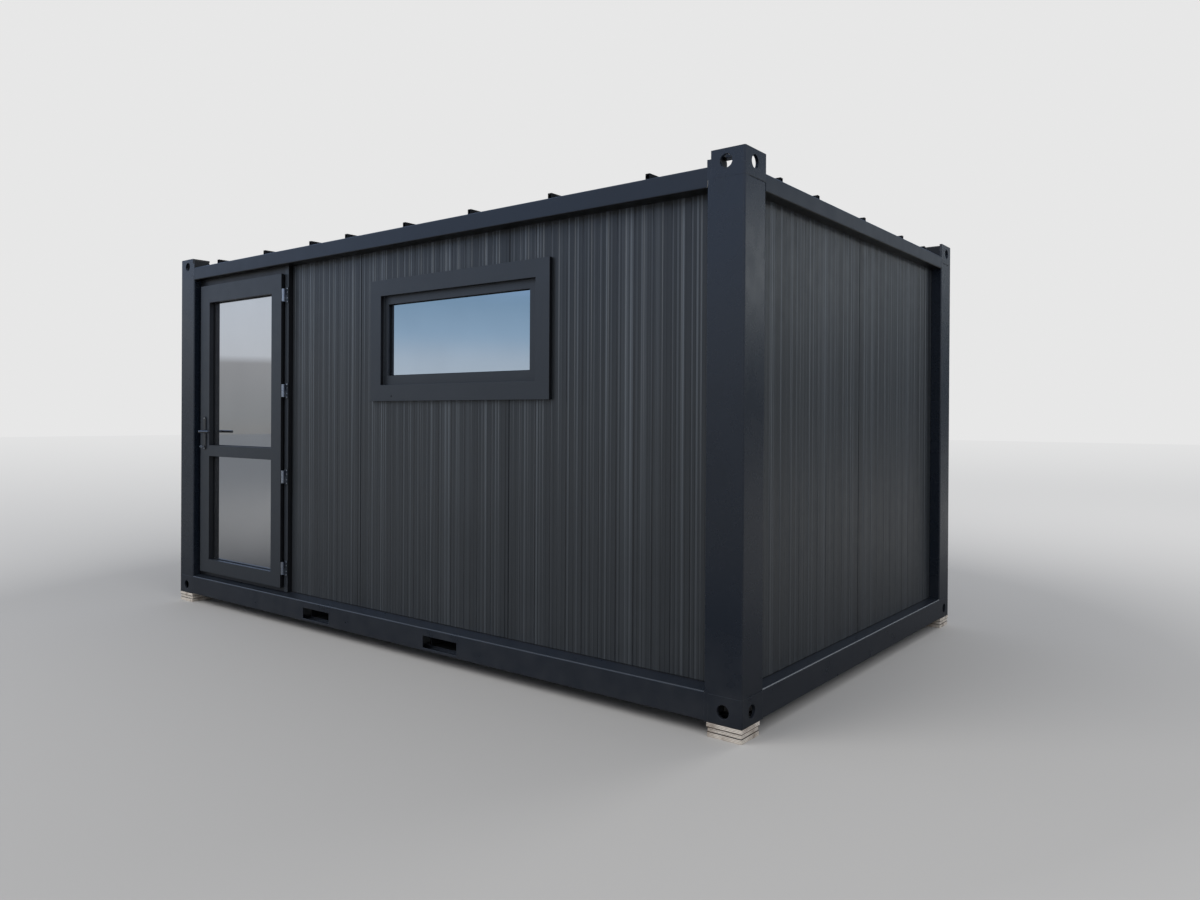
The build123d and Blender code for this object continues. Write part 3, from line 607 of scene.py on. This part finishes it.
def opened(made, kind, wanted):
    """Opens a piece in edit mode with only its wanted edges or faces selected."""
    in_edit_mode(made, kind)
    bpy.ops.mesh.select_all(action="DESELECT")
    in_object_mode()
    for element in made.data.edges if kind == "EDGE" else made.data.polygons:
        element.select = wanted(element)
    bpy.ops.object.mode_set(mode="EDIT")


def new_bar(name, low, high):
    """A bar between two corners, with its place in its mesh."""
    clear_selection()
    middle = [(a + b) / 2 for a, b in zip(low, high)]
    bpy.ops.mesh.primitive_cube_add(size=1.0, location=middle, scale=[b - a for a, b in zip(low, high)])
    return set_apart(bpy.context.object, name)


def eased(made, offset, segments=1):
    """Breaks every sharp edge of a piece."""
    in_edit_mode(made, "EDGE")
    bpy.ops.mesh.bevel(offset=offset, offset_type="OFFSET", segments=segments, affect="EDGES")
    in_object_mode()
    return made


def joined(name, pieces):
    """Several pieces as one."""
    clear_selection()
    for piece in pieces:
        piece.select_set(True)
    bpy.context.view_layer.objects.active = pieces[0]
    if len(pieces) > 1:
        bpy.ops.object.join()
    return set_apart(bpy.context.object, name)


def copied(made, matrix):
    """A copy of a piece with its own mesh, moved in its mesh."""
    twin = made.copy()
    twin.data = made.data.copy()
    twin.data.transform(matrix)
    if matrix.determinant() < 0:
        twin.data.flip_normals()
    bpy.context.scene.collection.objects.link(twin)
    return twin


def hand_over(made, finish, body):
    """Finishes a piece and ties it to its body."""
    made.data.materials.clear()
    made.data.materials.append(finish)
    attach(made, body)


def casting_side_plate(casting):
    """The plate that closes a casting next to the rail, cut back at its inner corners."""
    low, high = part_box(casting)
    back = low.y + PLATE + SIDE_PLATE_REACH
    plate = new_bar("side_plate", (low.x, low.y + PLATE, low.z + PLATE),
                    (low.x + SIDE_PLATE, back, high.z - PLATE))

    def inner_corner(edge):
        first, last = (plate.data.vertices[n].co for n in edge.vertices)
        return min(first.y, last.y) > back - HAIR and abs(first.x - last.x) > HAIR

    opened(plate, "EDGE", inner_corner)
    bpy.ops.mesh.bevel(offset=SIDE_PLATE_CUT, segments=3, affect="EDGES")
    in_object_mode()
    return plate


TO_LEFT = Matrix.Diagonal((-1.0, 1.0, 1.0, 1.0))
TO_REAR = Matrix.Diagonal((1.0, -1.0, 1.0, 1.0))
side_plates = []
for casting in ("top_casting_front_right", "bottom_casting_front_right"):
    near = casting_side_plate(casting)
    side_plates += [near] + [copied(near, matrix) for matrix in (TO_REAR, TO_LEFT, TO_LEFT @ TO_REAR)]
rear_low, rear_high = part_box("top_casting_rear_right")
rear_plate = new_bar("rear_plate", (rear_low.x + SIDE_PLATE, rear_low.y, rear_low.z + PLATE),
                     (rear_high.x - PLATE, rear_low.y + SIDE_PLATE, rear_high.z - PLATE))
rear_plate = eased(rear_plate, SIDE_PLATE / 4)
side_plates += [rear_plate, copied(rear_plate, TO_LEFT)]
# Painted shade: the plates inside the castings are painted near black.
inner_paint = coated("anthracite_inner_plate", STEEL_PAINTED_SHADE, STEEL_PAINT, DULL_ROUGHNESS)
hand_over(joined("casting_side_plates", side_plates), inner_paint, "container")


# Floor: a board deck with a grey vinyl sheet on galvanised joists.
# The vinyl is a little worn at its edges, and the joists are dull from the weather.
VINYL = (0.20, 0.205, 0.21, 1.0)
VINYL_WORN = (0.30, 0.30, 0.30, 1.0)
ZINC = (0.24, 0.25, 0.26, 1.0)
ZINC_DULL = (0.36, 0.37, 0.38, 1.0)
dress("floor_slab", coated("grey_vinyl", VINYL, VINYL_WORN, roughness=0.55))
dress("floor_joists", coated("galvanised_joists", ZINC, ZINC_DULL, roughness=0.45, dust_share=0.6))


# Roof: an insulated deck under a coated trapezoidal sheet, set down between the top rails.
# Self-drilling screws with washers hold the sheet on the crests of its ribs.
# Its underside is the room's off-white ceiling.
ROOF_COAT = (0.075, 0.080, 0.086, 1.0)
ROOF_WORN = (0.15, 0.15, 0.15, 1.0)
LINING = (0.62, 0.62, 0.60, 1.0)
SCREW_ROWS = (-1.25, -0.62, 0.0, 0.62, 1.25)
RIB_SPACING = 0.25
ROOF_RIBS = 18
WASHER_RADIUS, WASHER_HEIGHT = 0.008, 0.0016
HEAD_RADIUS, HEAD_HEIGHT = 0.0045, 0.0045
SCREW_METAL = (0.42, 0.43, 0.45, 1.0)
WASHER_SIDES = 8
UPWARDS = (2, 1)
SAME_LEVEL = 1e-6

roof_coat = coated("coated_roof_sheet", ROOF_COAT, ROOF_WORN, roughness=0.48,
                   dust_height=4.0, dust_share=0.45)
cover(roof_coat, underside, LINING)
dress("roof_deck", roof_coat)


def satin_metal(name, colour, worn, roughness):
    made = coated(name, colour, worn, roughness, edge=0.0008, wear=0.6, dust_share=0.0, peel=0.3)
    made.node_tree.nodes["Principled BSDF"].inputs["Metallic"].default_value = 1.0
    return made


def stepped_disc(name, place, way, steps, sides):
    """A turned head: each step is how far in from the rim, then how far out along its axis."""
    axis, sign = way
    clear_selection()
    turn = {0: (0.0, math.pi / 2, 0.0), 1: (math.pi / 2, 0.0, 0.0), 2: (0.0, 0.0, 0.0)}[axis]
    radius, height = steps[0]
    middle = list(place)
    middle[axis] += sign * height / 2
    bpy.ops.mesh.primitive_cylinder_add(vertices=sides, radius=radius, depth=height,
                                        location=middle, rotation=turn)
    made = set_apart(bpy.context.object, name)
    for inset, rise in steps[1:]:
        reach = max(sign * face.center[axis] for face in made.data.polygons)
        opened(made, "FACE", lambda face: sign * face.center[axis] > reach - SAME_LEVEL)
        bpy.ops.mesh.inset(thickness=inset)
        shift = [0.0, 0.0, 0.0]
        shift[axis] = sign * rise
        bpy.ops.mesh.extrude_region_move(TRANSFORM_OT_translate={"value": shift})
        in_object_mode()
    return made


def repeated(name, made, places):
    """The piece copied to each place, counted from the first one."""
    first = Vector(places[0])
    copies = [copied(made, Matrix.Translation(Vector(place) - first)) for place in places[1:]]
    return joined(name, [made] + copies)


rib_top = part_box("roof_deck")[1].z
rib_places = [((n - (ROOF_RIBS - 1) / 2) * RIB_SPACING, y, rib_top)
              for n in range(ROOF_RIBS) for y in SCREW_ROWS]
washer_steps = ((WASHER_RADIUS, WASHER_HEIGHT), (WASHER_RADIUS - HEAD_RADIUS, HEAD_HEIGHT))
roof_screw = stepped_disc("roof_screw", rib_places[0], UPWARDS, washer_steps, WASHER_SIDES)
roof_screws = repeated("roof_screws", roof_screw, rib_places)
zinc_screws = satin_metal("zinc_screws", SCREW_METAL, ZINC_DULL, roughness=0.4)
hand_over(roof_screws, zinc_screws, "container")


# Wall panels: sandwich boards with a thin coated steel sheet on each side, profiled lengthways.
# Outside, each rib has a painted highlight on one slope and painted shade on the other, and the
# fine lines between the ribs are painted shade in drawn grooves; the highlight and the random
# streaks grow stronger upwards as painted light from above. Inside the sheet is off-white.
# Black beads close the seams and the feet.
SHEET_PAINT = (0.0305, 0.0350, 0.0405, 1.0)
SHEET_WORN = (0.05, 0.055, 0.06, 1.0)
# Painted highlight and painted shade colours for the rib slopes and the fine grooves.
SLOPE_LIT = (0.105, 0.120, 0.138, 1.0)
SLOPE_SHADED = (0.0035, 0.004, 0.005, 1.0)
SHEET_ROUGHNESS = 0.36
RIB_PITCH = 0.110
RIB_SLOPE = 0.006
RISE_AT, FALL_AT = 0.0305, 0.0855
LIT_HALF, SHADED_HALF = 0.0042, 0.0055
LIT_SHARE, SHADED_SHARE = 0.85, 1.0
STREAKS_IN_RIB = 11
STREAK_FROM, STREAK_TO = 0.4, 2.3
STREAK_LEAST, STREAK_MORE = 0.9, 1.6
STREAK_SHARPNESS = 4.0
GROOVE_RELIEF, GROOVE_DEPTH = 0.5, 0.0005
FINE_PITCH = RIB_PITCH / 4
FINE_HALF = 0.0028
FINE_SHARE = 0.75
WALL_SETS = (
    ("X", True, [name for name in frame["nodes"] if name.startswith(("front_panel", "rear_panel"))]),
    ("Y", False, [name for name in frame["nodes"] if name.startswith(("right_panel", "left_panel"))]),
)
INSIDE_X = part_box("floor_slab")[1].x + 2 * HAIR
INSIDE_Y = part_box("floor_slab")[1].y + 2 * HAIR


def line_at(tree, value, middle, half):
    """A soft line: 1 at its middle and 0 at its half width."""
    away = size_of(tree, math_node(tree, "SUBTRACT", value, middle))
    return math_node(tree, "SUBTRACT", 1.0, math_node(tree, "DIVIDE", away, half), clamped=True)


def wall_sheet(name, along, lit_on_fall, start):
    """Graphite sheet outside with painted highlight and painted shade lines on its ribs, off-white sheet
    inside.
    """
    made = coated(name, SHEET_PAINT, SHEET_WORN, SHEET_ROUGHNESS, edge=0.0015, wear=0.2,
                  dust_height=0.9, dust_share=0.10, peel=0.18)
    tree = made.node_tree
    shader = tree.nodes["Principled BSDF"]
    coat = shader.inputs["Base Color"].links[0].from_socket
    sources = add_node(tree, "TexCoord").outputs["Object"]
    place = add_node(tree, "SeparateXYZ", Vector=sources).outputs
    run = math_node(tree, "SUBTRACT", place[along], start)
    phase = math_node(tree, "FLOORED_MODULO", run, RIB_PITCH)
    lit_at, shaded_at = (FALL_AT, RISE_AT) if lit_on_fall else (RISE_AT, FALL_AT)
    lit = line_at(tree, phase, lit_at, LIT_HALF)
    shaded = line_at(tree, phase, shaded_at, SHADED_HALF)

    # Painted shade in the fine grooves, which also get a real bump further down.
    fine = line_at(tree, math_node(tree, "PINGPONG", run, FINE_PITCH / 2), 0.0, FINE_HALF)
    fine = math_node(tree, "MULTIPLY", fine, FINE_SHARE)

    # Painted light from above: the lit slope's highlight and the streaks' contrast grow upwards.
    upward = smooth_step(tree, place["Z"], STREAK_FROM, STREAK_TO)
    contrast = math_node(tree, "MULTIPLY_ADD", upward, STREAK_MORE, STREAK_LEAST)
    streaks = add_node(tree, "TexWhiteNoise", {"noise_dimensions": "1D"}, W=math_node(
        tree, "FLOOR", math_node(tree, "DIVIDE", run, RIB_PITCH / STREAKS_IN_RIB))).outputs["Value"]
    sparse = math_node(tree, "POWER", streaks, STREAK_SHARPNESS)
    from_mean = math_node(tree, "SUBTRACT", sparse, 1.0 / (STREAK_SHARPNESS + 1.0))
    toned = add_node(tree, "VectorMath", {"operation": "SCALE"})
    feed(tree, toned.inputs[0], coat)
    feed(tree, toned.inputs["Scale"], math_node(tree, "MULTIPLY_ADD", from_mean, contrast, 1.0))
    colour = mixed(tree, fine, toned.outputs[0], SLOPE_SHADED)
    colour = mixed(tree, math_node(tree, "MULTIPLY", shaded, SHADED_SHARE), colour, SLOPE_SHADED)
    lit = math_node(tree, "MULTIPLY", both_of(tree, lit, upward), LIT_SHARE)
    colour = mixed(tree, lit, colour, SLOPE_LIT)

    within_x = math_node(tree, "LESS_THAN", size_of(tree, place["X"]), INSIDE_X)
    within_y = math_node(tree, "LESS_THAN", size_of(tree, place["Y"]), INSIDE_Y)
    inside = both_of(tree, within_x, within_y)
    feed(tree, shader.inputs["Base Color"], mixed(tree, inside, colour, LINING))
    grooves = math_node(tree, "SUBTRACT", 1.0, fine)
    below = shader.inputs["Normal"].links[0].from_socket
    bump = add_node(tree, "Bump", Strength=GROOVE_RELIEF, Distance=GROOVE_DEPTH, Height=grooves,
                    Normal=below)
    feed(tree, shader.inputs["Normal"], bump.outputs[0])
    return made


for along, lit_on_fall, names in WALL_SETS:
    for name in names:
        low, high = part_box(name)
        axis = "XY".index(along)
        width = high[axis] - low[axis]
        ribs = int((width - RIB_SLOPE) // RIB_PITCH)
        start = low[axis] + (width - ribs * RIB_PITCH) / 2
        dress(name, wall_sheet("profiled_" + name, along, lit_on_fall, start))

SEAM_HALF = 0.0034
SEAM_PROUD, SEAM_EASE = 0.0009, 0.00072
RIB_DEPTH = 0.002
FOOT_HEIGHT = 0.0045
# Black rubber; the same near black is also laid as painted shade on the door and window reveals.
RUBBER_AND_SHADE = (0.0045, 0.0048, 0.0055, 1.0)
RUBBER_WORN = (0.02, 0.02, 0.021, 1.0)
black_rubber = coated("black_rubber", RUBBER_AND_SHADE, RUBBER_WORN, roughness=0.6, edge=0.0005, wear=0.3,
                      sheen=0.25)


def bead(axis, start, end, bottom, top, face):
    """A bead on a wall that runs along an axis, 0 or 1, lying half in the wall's face."""
    low, high = [0.0, 0.0, bottom], [0.0, 0.0, top]
    low[axis], high[axis] = start, end
    low[1 - axis], high[1 - axis] = face - SEAM_PROUD, face + SEAM_PROUD
    return eased(new_bar("bead", low, high), SEAM_EASE, 2)


def seam(axis, middle, bottom, top, face):
    return bead(axis, middle - SEAM_HALF, middle + SEAM_HALF, bottom, top, face)


def front_beads():
    """The panel seams, broken by the window, the two ends of the wall, and its foot."""
    low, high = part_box("front_panel_right")
    casing_low, casing_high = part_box("window_casing")
    left_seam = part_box("front_panel_middle")[0].x
    door_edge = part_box("door_frame")[1].x
    face = low.y + RIB_DEPTH
    made = [seam(0, left_seam, low.z, high.z, face),
            seam(0, low.x, low.z, casing_low.z, face),
            seam(0, low.x, casing_high.z, high.z, face),
            seam(0, high.x - SEAM_HALF, low.z, high.z, face),
            seam(0, door_edge + SEAM_HALF, low.z, high.z, face)]
    foot = bead(0, door_edge, high.x, low.z, low.z + FOOT_HEIGHT, low.y - SEAM_PROUD / 2)
    return made + [foot]


def rear_beads():
    """The three seams between the rear panels, and the foot."""
    low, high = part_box("rear_panel_1")
    made = [seam(0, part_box("rear_panel_%d" % n)[0].x, low.z, high.z, high.y - RIB_DEPTH)
            for n in (1, 2, 3)]
    foot = bead(0, -high.x, high.x, low.z, low.z + FOOT_HEIGHT, high.y + SEAM_PROUD / 2)
    return made + [foot]


def end_beads():
    """The right end's middle seam, its two sides and its foot, and the same at the left end."""
    low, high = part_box("right_panel_front")
    made = [seam(1, middle, low.z, high.z, high.x - RIB_DEPTH)
            for middle in (high.y, low.y + SEAM_HALF, -low.y - SEAM_HALF)]
    made.append(bead(1, low.y, -low.y, low.z, low.z + FOOT_HEIGHT, high.x + SEAM_PROUD / 2))
    return made + [copied(piece, TO_LEFT) for piece in made]


seam_beads = joined("wall_seam_beads", front_beads() + rear_beads() + end_beads())
hand_over(seam_beads, black_rubber, "container")


# Door frame and leaf: powder-coated aluminium sections, mitred at the corners.
# Painted shade darkens the frame round the leaf and the reveals; black rubber holds both panes.
DOOR_COAT = (0.0195, 0.0235, 0.0295, 1.0)
DOOR_WORN = (0.055, 0.062, 0.074, 1.0)
FRAME_STRIP, FRAME_INNER_PART = 0.0425, 0.03
REBATE = 0.012
GASKET_FACE, GASKET_DEPTH, GASKET_EASE = 0.004, 0.007, 0.0008
leaf_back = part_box("door_leaf")[1].y
frame_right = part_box("door_frame")[1].x


def powder_coat(name):
    return coated(name, DOOR_COAT, DOOR_WORN, roughness=0.40, edge=0.002, wear=0.35, dust_height=0.8,
                  dust_share=0.08, peel=0.3)


def shaded_reveal(tree, place, facing):
    """Painted shade on the faces across the thickness, apart from the ledges that face up."""
    across = math_node(tree, "LESS_THAN", size_of(tree, facing["Y"]), TURNED)
    return both_of(tree, across, math_node(tree, "LESS_THAN", facing["Z"], TURNED))


def frame_painted_shade(tree, place, facing):
    """Painted shade on all of the frame but the strip that carries the hinges, and its inner face."""
    beside = math_node(tree, "LESS_THAN", place["X"], frame_right - FRAME_STRIP)
    outer_part = math_node(tree, "LESS_THAN", place["Y"], leaf_back - FRAME_INNER_PART)
    return either_of(tree, both_of(tree, beside, outer_part), shaded_reveal(tree, place, facing))


leaf_coat = powder_coat("graphite_door_leaf")
cover(leaf_coat, shaded_reveal, RUBBER_AND_SHADE)
frame_coat = powder_coat("graphite_door_frame")
cover(frame_coat, frame_painted_shade, RUBBER_AND_SHADE)
dress("door_leaf", leaf_coat)
dress("door_frame", frame_coat)
dress("door_glazing_beads", powder_coat("graphite_glazing_beads"))


def upright_ring(name, low, high, face, depth, width, ease):
    """A rectangular ring that stands in the front wall, between two corners of its outline."""
    clear_selection()
    bpy.ops.mesh.primitive_plane_add(
        size=1.0, location=((low[0] + high[0]) / 2, face, (low[1] + high[1]) / 2),
        rotation=(math.pi / 2, 0.0, 0.0))
    made = bpy.context.object
    made.scale = (high[0] - low[0], high[1] - low[1], 1.0)
    set_apart(made, name)
    in_edit_mode(made)
    bpy.ops.mesh.inset(thickness=width, use_boundary=True)
    bpy.ops.mesh.delete(type="FACE")
    bpy.ops.mesh.select_all(action="SELECT")
    bpy.ops.mesh.extrude_region_move(TRANSFORM_OT_translate={"value": (0.0, depth, 0.0)})
    bpy.ops.mesh.select_all(action="SELECT")
    bpy.ops.mesh.normals_make_consistent(inside=False)
    in_object_mode()
    return eased(made, ease)


def glass_gasket(name, glass, body):
    """The rubber round the part of a pane that shows, lying on its face."""
    low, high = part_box(glass)
    gasket = upright_ring(name, (low.x + REBATE, low.z + REBATE), (high.x - REBATE, high.z - REBATE),
                          low.y - GASKET_DEPTH, GASKET_DEPTH, GASKET_FACE, GASKET_EASE)
    hand_over(gasket, black_rubber, body)


glass_gasket("door_gasket_upper", "door_glass_upper", "door")
glass_gasket("door_gasket_lower", "door_glass_lower", "door")


# Glass: sealed units with a mirroring sun coat, faintly wavy and a little dusty.
# The door's pair is neutral, the window's pane is bluer.
DOOR_GLASS = (0.65, 0.66, 0.68, 1.0)
WINDOW_GLASS = (0.51, 0.59, 0.69, 1.0)
GLASS_ROUGHNESS = 0.004
GLASS_METALLIC = 0.985
FILM_SCALE, FILM_ROUGHNESS = 3.0, 0.03
FILM_TONE_LEAST, FILM_TONE_RANGE = 0.94, 0.12
WAVE_SCALE, WAVE_RELIEF, WAVE_DEPTH = 1.4, 0.10, 0.003


def mirror_glass(name, tint):
    made, tree, shader = new_finish(name)
    place = add_node(tree, "TexCoord").outputs["Object"]
    film = add_node(tree, "TexNoise", Vector=place, Scale=FILM_SCALE, Detail=5.0).outputs["Fac"]
    tinted = add_node(tree, "VectorMath", {"operation": "SCALE"})
    tinted.inputs[0].default_value = tint[:3]
    tone = math_node(tree, "MULTIPLY_ADD", film, FILM_TONE_RANGE, FILM_TONE_LEAST)
    feed(tree, tinted.inputs["Scale"], tone)
    feed(tree, shader.inputs["Base Color"], tinted.outputs[0])
    shader.inputs["Metallic"].default_value = GLASS_METALLIC
    rough = math_node(tree, "MULTIPLY_ADD", film, FILM_ROUGHNESS, GLASS_ROUGHNESS)
    feed(tree, shader.inputs["Roughness"], rough)
    waves = add_node(tree, "TexNoise", Vector=place, Scale=WAVE_SCALE, Detail=1.0).outputs["Fac"]
    bump = add_node(tree, "Bump", Strength=WAVE_RELIEF, Distance=WAVE_DEPTH, Height=waves)
    feed(tree, shader.inputs["Normal"], bump.outputs[0])
    return made


door_glass = mirror_glass("neutral_mirror_glass", DOOR_GLASS)
dress("door_glass_upper", door_glass)
dress("door_glass_lower", door_glass)
dress("window_glass", mirror_glass("blue_mirror_glass", WINDOW_GLASS))


# Hinges: satin aluminium barrels, each on a dark coated plate that is screwed to the frame.
# Four countersunk screws in two pairs hold every plate.
HINGE_METAL = (0.36, 0.39, 0.44, 1.0)
METAL_WORN = (0.75, 0.77, 0.80, 1.0)
PLATE_SCREW_RADIUS, PLATE_SCREW_HEIGHT, SOCKET_DEPTH = 0.0038, 0.0012, 0.0006
PLATE_SCREW_LEVELS = (-0.045, -0.020, 0.020, 0.045)
PLATE_SCREW_SHIFT = 0.004
SCREW_SIDES = 12
OUTWARDS = (1, -1)
HINGE_ROUGHNESS = 0.32
barrel_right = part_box("hinge_leaf_halves")[1].x
plate_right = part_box("hinge_frame_halves")[1].x


def hinge_plate(tree, place, facing):
    return math_node(tree, "GREATER_THAN", place["X"], barrel_right + HAIR)


barrel_metal = satin_metal("satin_hinge_metal", HINGE_METAL, METAL_WORN, HINGE_ROUGHNESS)
plate_metal = satin_metal("satin_hinge_metal_and_plate", HINGE_METAL, METAL_WORN, HINGE_ROUGHNESS)
cover(plate_metal, hinge_plate, DOOR_COAT, over_metal=True)
dress("hinge_leaf_halves", barrel_metal)
dress("hinge_frame_halves", plate_metal)

# The right edge of the plates gives each plate's lower and upper end, and the face they share.
plate_edge = [vertex.co for vertex in frame["nodes"]["hinge_frame_halves"].data.vertices
              if vertex.co.x > plate_right - 2 * HAIR]
plate_ends = sorted({round(place.z, 4) for place in plate_edge})
plate_middles = [(lower + upper) / 2 for lower, upper in zip(plate_ends[::2], plate_ends[1::2])]
plate_face = min(place.y for place in plate_edge)
screw_x = (barrel_right + plate_right) / 2 + PLATE_SCREW_SHIFT
plate_screw_places = [(screw_x, plate_face, middle + offset)
                      for middle in plate_middles for offset in PLATE_SCREW_LEVELS]
plate_screw = stepped_disc("plate_screw", plate_screw_places[0], OUTWARDS,
                           ((PLATE_SCREW_RADIUS, PLATE_SCREW_HEIGHT),
                            (PLATE_SCREW_RADIUS / 2, -SOCKET_DEPTH)), SCREW_SIDES)
hinge_screws = repeated("hinge_plate_screws", plate_screw, plate_screw_places)
bright_screws = satin_metal("bright_screws", METAL_WORN, METAL_WORN, roughness=0.35)
hand_over(hinge_screws, bright_screws, "container")


# Handle: a lever of dark satin metal on long plates, with a collar round its neck.
# Two screws hold the outer plate, and a flat key with a round bow stands in the cylinder.
HANDLE_METAL = (0.105, 0.110, 0.120, 1.0)
COLLAR_RADIUS, COLLAR_HEIGHT, COLLAR_STEP, COLLAR_SIDES = 0.0155, 0.003, 0.0015, 32
HANDLE_SCREW_RADIUS, HANDLE_SCREW_HEIGHT = 0.0042, 0.0014
SCREW_FROM_TOP, SCREW_FROM_FOOT = 0.014, 0.008
KEY_THICKNESS = 0.0022
BOW_RADIUS, BOW_HOLE, BOW_BEYOND_NECK = 0.0105, 0.0045, 0.0084
BOW_SIDES, BOW_EASE = 24, 0.0003
NECK_LENGTH, NECK_HEIGHT, NECK_EASE = 0.012, 0.008, 0.0004
NECK_IN_BOW, NECK_IN_CYLINDER = 0.001, 0.002
handle_metal = satin_metal("dark_handle_metal", HANDLE_METAL, METAL_WORN, roughness=0.22)
key_metal = satin_metal("key_metal", METAL_WORN, METAL_WORN, roughness=0.28)
for name in ("handle_plate_outside", "handle_plate_inside", "handle_lever", "key_cylinder"):
    dress(name, handle_metal)

out_low, out_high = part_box("handle_plate_outside")
cylinder_low, cylinder_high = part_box("key_cylinder")
plate_middle = (out_low.x + out_high.x) / 2
key_level = (cylinder_low.z + cylinder_high.z) / 2
lever_joint = next(joint for joint in frame["joints"] if joint["name"] == "handle_turn")
spindle_level = lever_joint["pos_m"][2]


def door_key():
    """A flat key: a round bow with a hole, and a neck that goes into the cylinder."""
    neck_start = cylinder_low.y
    neck_end = neck_start - NECK_LENGTH
    bow_middle = neck_end - BOW_BEYOND_NECK
    clear_selection()
    bpy.ops.mesh.primitive_cylinder_add(vertices=BOW_SIDES, radius=BOW_RADIUS, depth=KEY_THICKNESS,
                                        location=(plate_middle, bow_middle, key_level),
                                        rotation=(0.0, math.pi / 2, 0.0))
    bow = set_apart(bpy.context.object, "bow")
    opened(bow, "FACE", lambda face: len(face.vertices) > 4)
    bpy.ops.mesh.inset(thickness=BOW_RADIUS - BOW_HOLE, use_individual=True)
    bpy.ops.mesh.bridge_edge_loops()
    in_object_mode()
    half_thick, half_high = KEY_THICKNESS / 2, NECK_HEIGHT / 2
    neck = new_bar("neck", (plate_middle - half_thick, neck_end - NECK_IN_BOW, key_level - half_high),
                   (plate_middle + half_thick, neck_start + NECK_IN_CYLINDER, key_level + half_high))
    return joined("door_key", [eased(bow, BOW_EASE), eased(neck, NECK_EASE)])


hand_over(door_key(), key_metal, "door")
collar = stepped_disc("handle_collar", (plate_middle, out_low.y, spindle_level), OUTWARDS,
                      ((COLLAR_RADIUS, COLLAR_HEIGHT), (COLLAR_STEP, COLLAR_STEP)), COLLAR_SIDES)
hand_over(collar, handle_metal, "door")
handle_screw_places = [(plate_middle, out_low.y, out_high.z - SCREW_FROM_TOP),
                       (plate_middle, out_low.y, out_low.z + SCREW_FROM_FOOT)]
handle_screw = stepped_disc("handle_screw", handle_screw_places[0], OUTWARDS,
                            ((HANDLE_SCREW_RADIUS, HANDLE_SCREW_HEIGHT),
                             (HANDLE_SCREW_RADIUS / 2, -SOCKET_DEPTH)), SCREW_SIDES)
handle_screws = repeated("handle_plate_screws", handle_screw, handle_screw_places)
hand_over(handle_screws, bright_screws, "door")


# Window: a flat coated casing screwed to the wall, with a fixed sash set back in its opening.
# A black gasket holds the pane, and a small cap covers a screw in the casing's lower member.
CAP_FROM_LEFT, CAP_FROM_LOW = 0.206, 0.030
CAP_RADIUS, CAP_HEIGHT, CAP_SIDES = 0.005, 0.0012, 16
casing_coat = powder_coat("graphite_window_casing")
# Painted shade in the reveals of the casing and the sash.
cover(casing_coat, shaded_reveal, RUBBER_AND_SHADE)
sash_coat = powder_coat("graphite_window_sash")
cover(sash_coat, shaded_reveal, RUBBER_AND_SHADE)
dress("window_casing", casing_coat)
dress("window_sash", sash_coat)
glass_gasket("window_gasket", "window_glass", "container")
casing_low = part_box("window_casing")[0]
cap_place = (casing_low.x + CAP_FROM_LEFT, casing_low.y, casing_low.z + CAP_FROM_LOW)
cap = stepped_disc("window_casing_cap", cap_place, OUTWARDS,
                   ((CAP_RADIUS, CAP_HEIGHT), (CAP_RADIUS / 3, CAP_HEIGHT / 3)), CAP_SIDES)
hand_over(cap, black_rubber, "container")
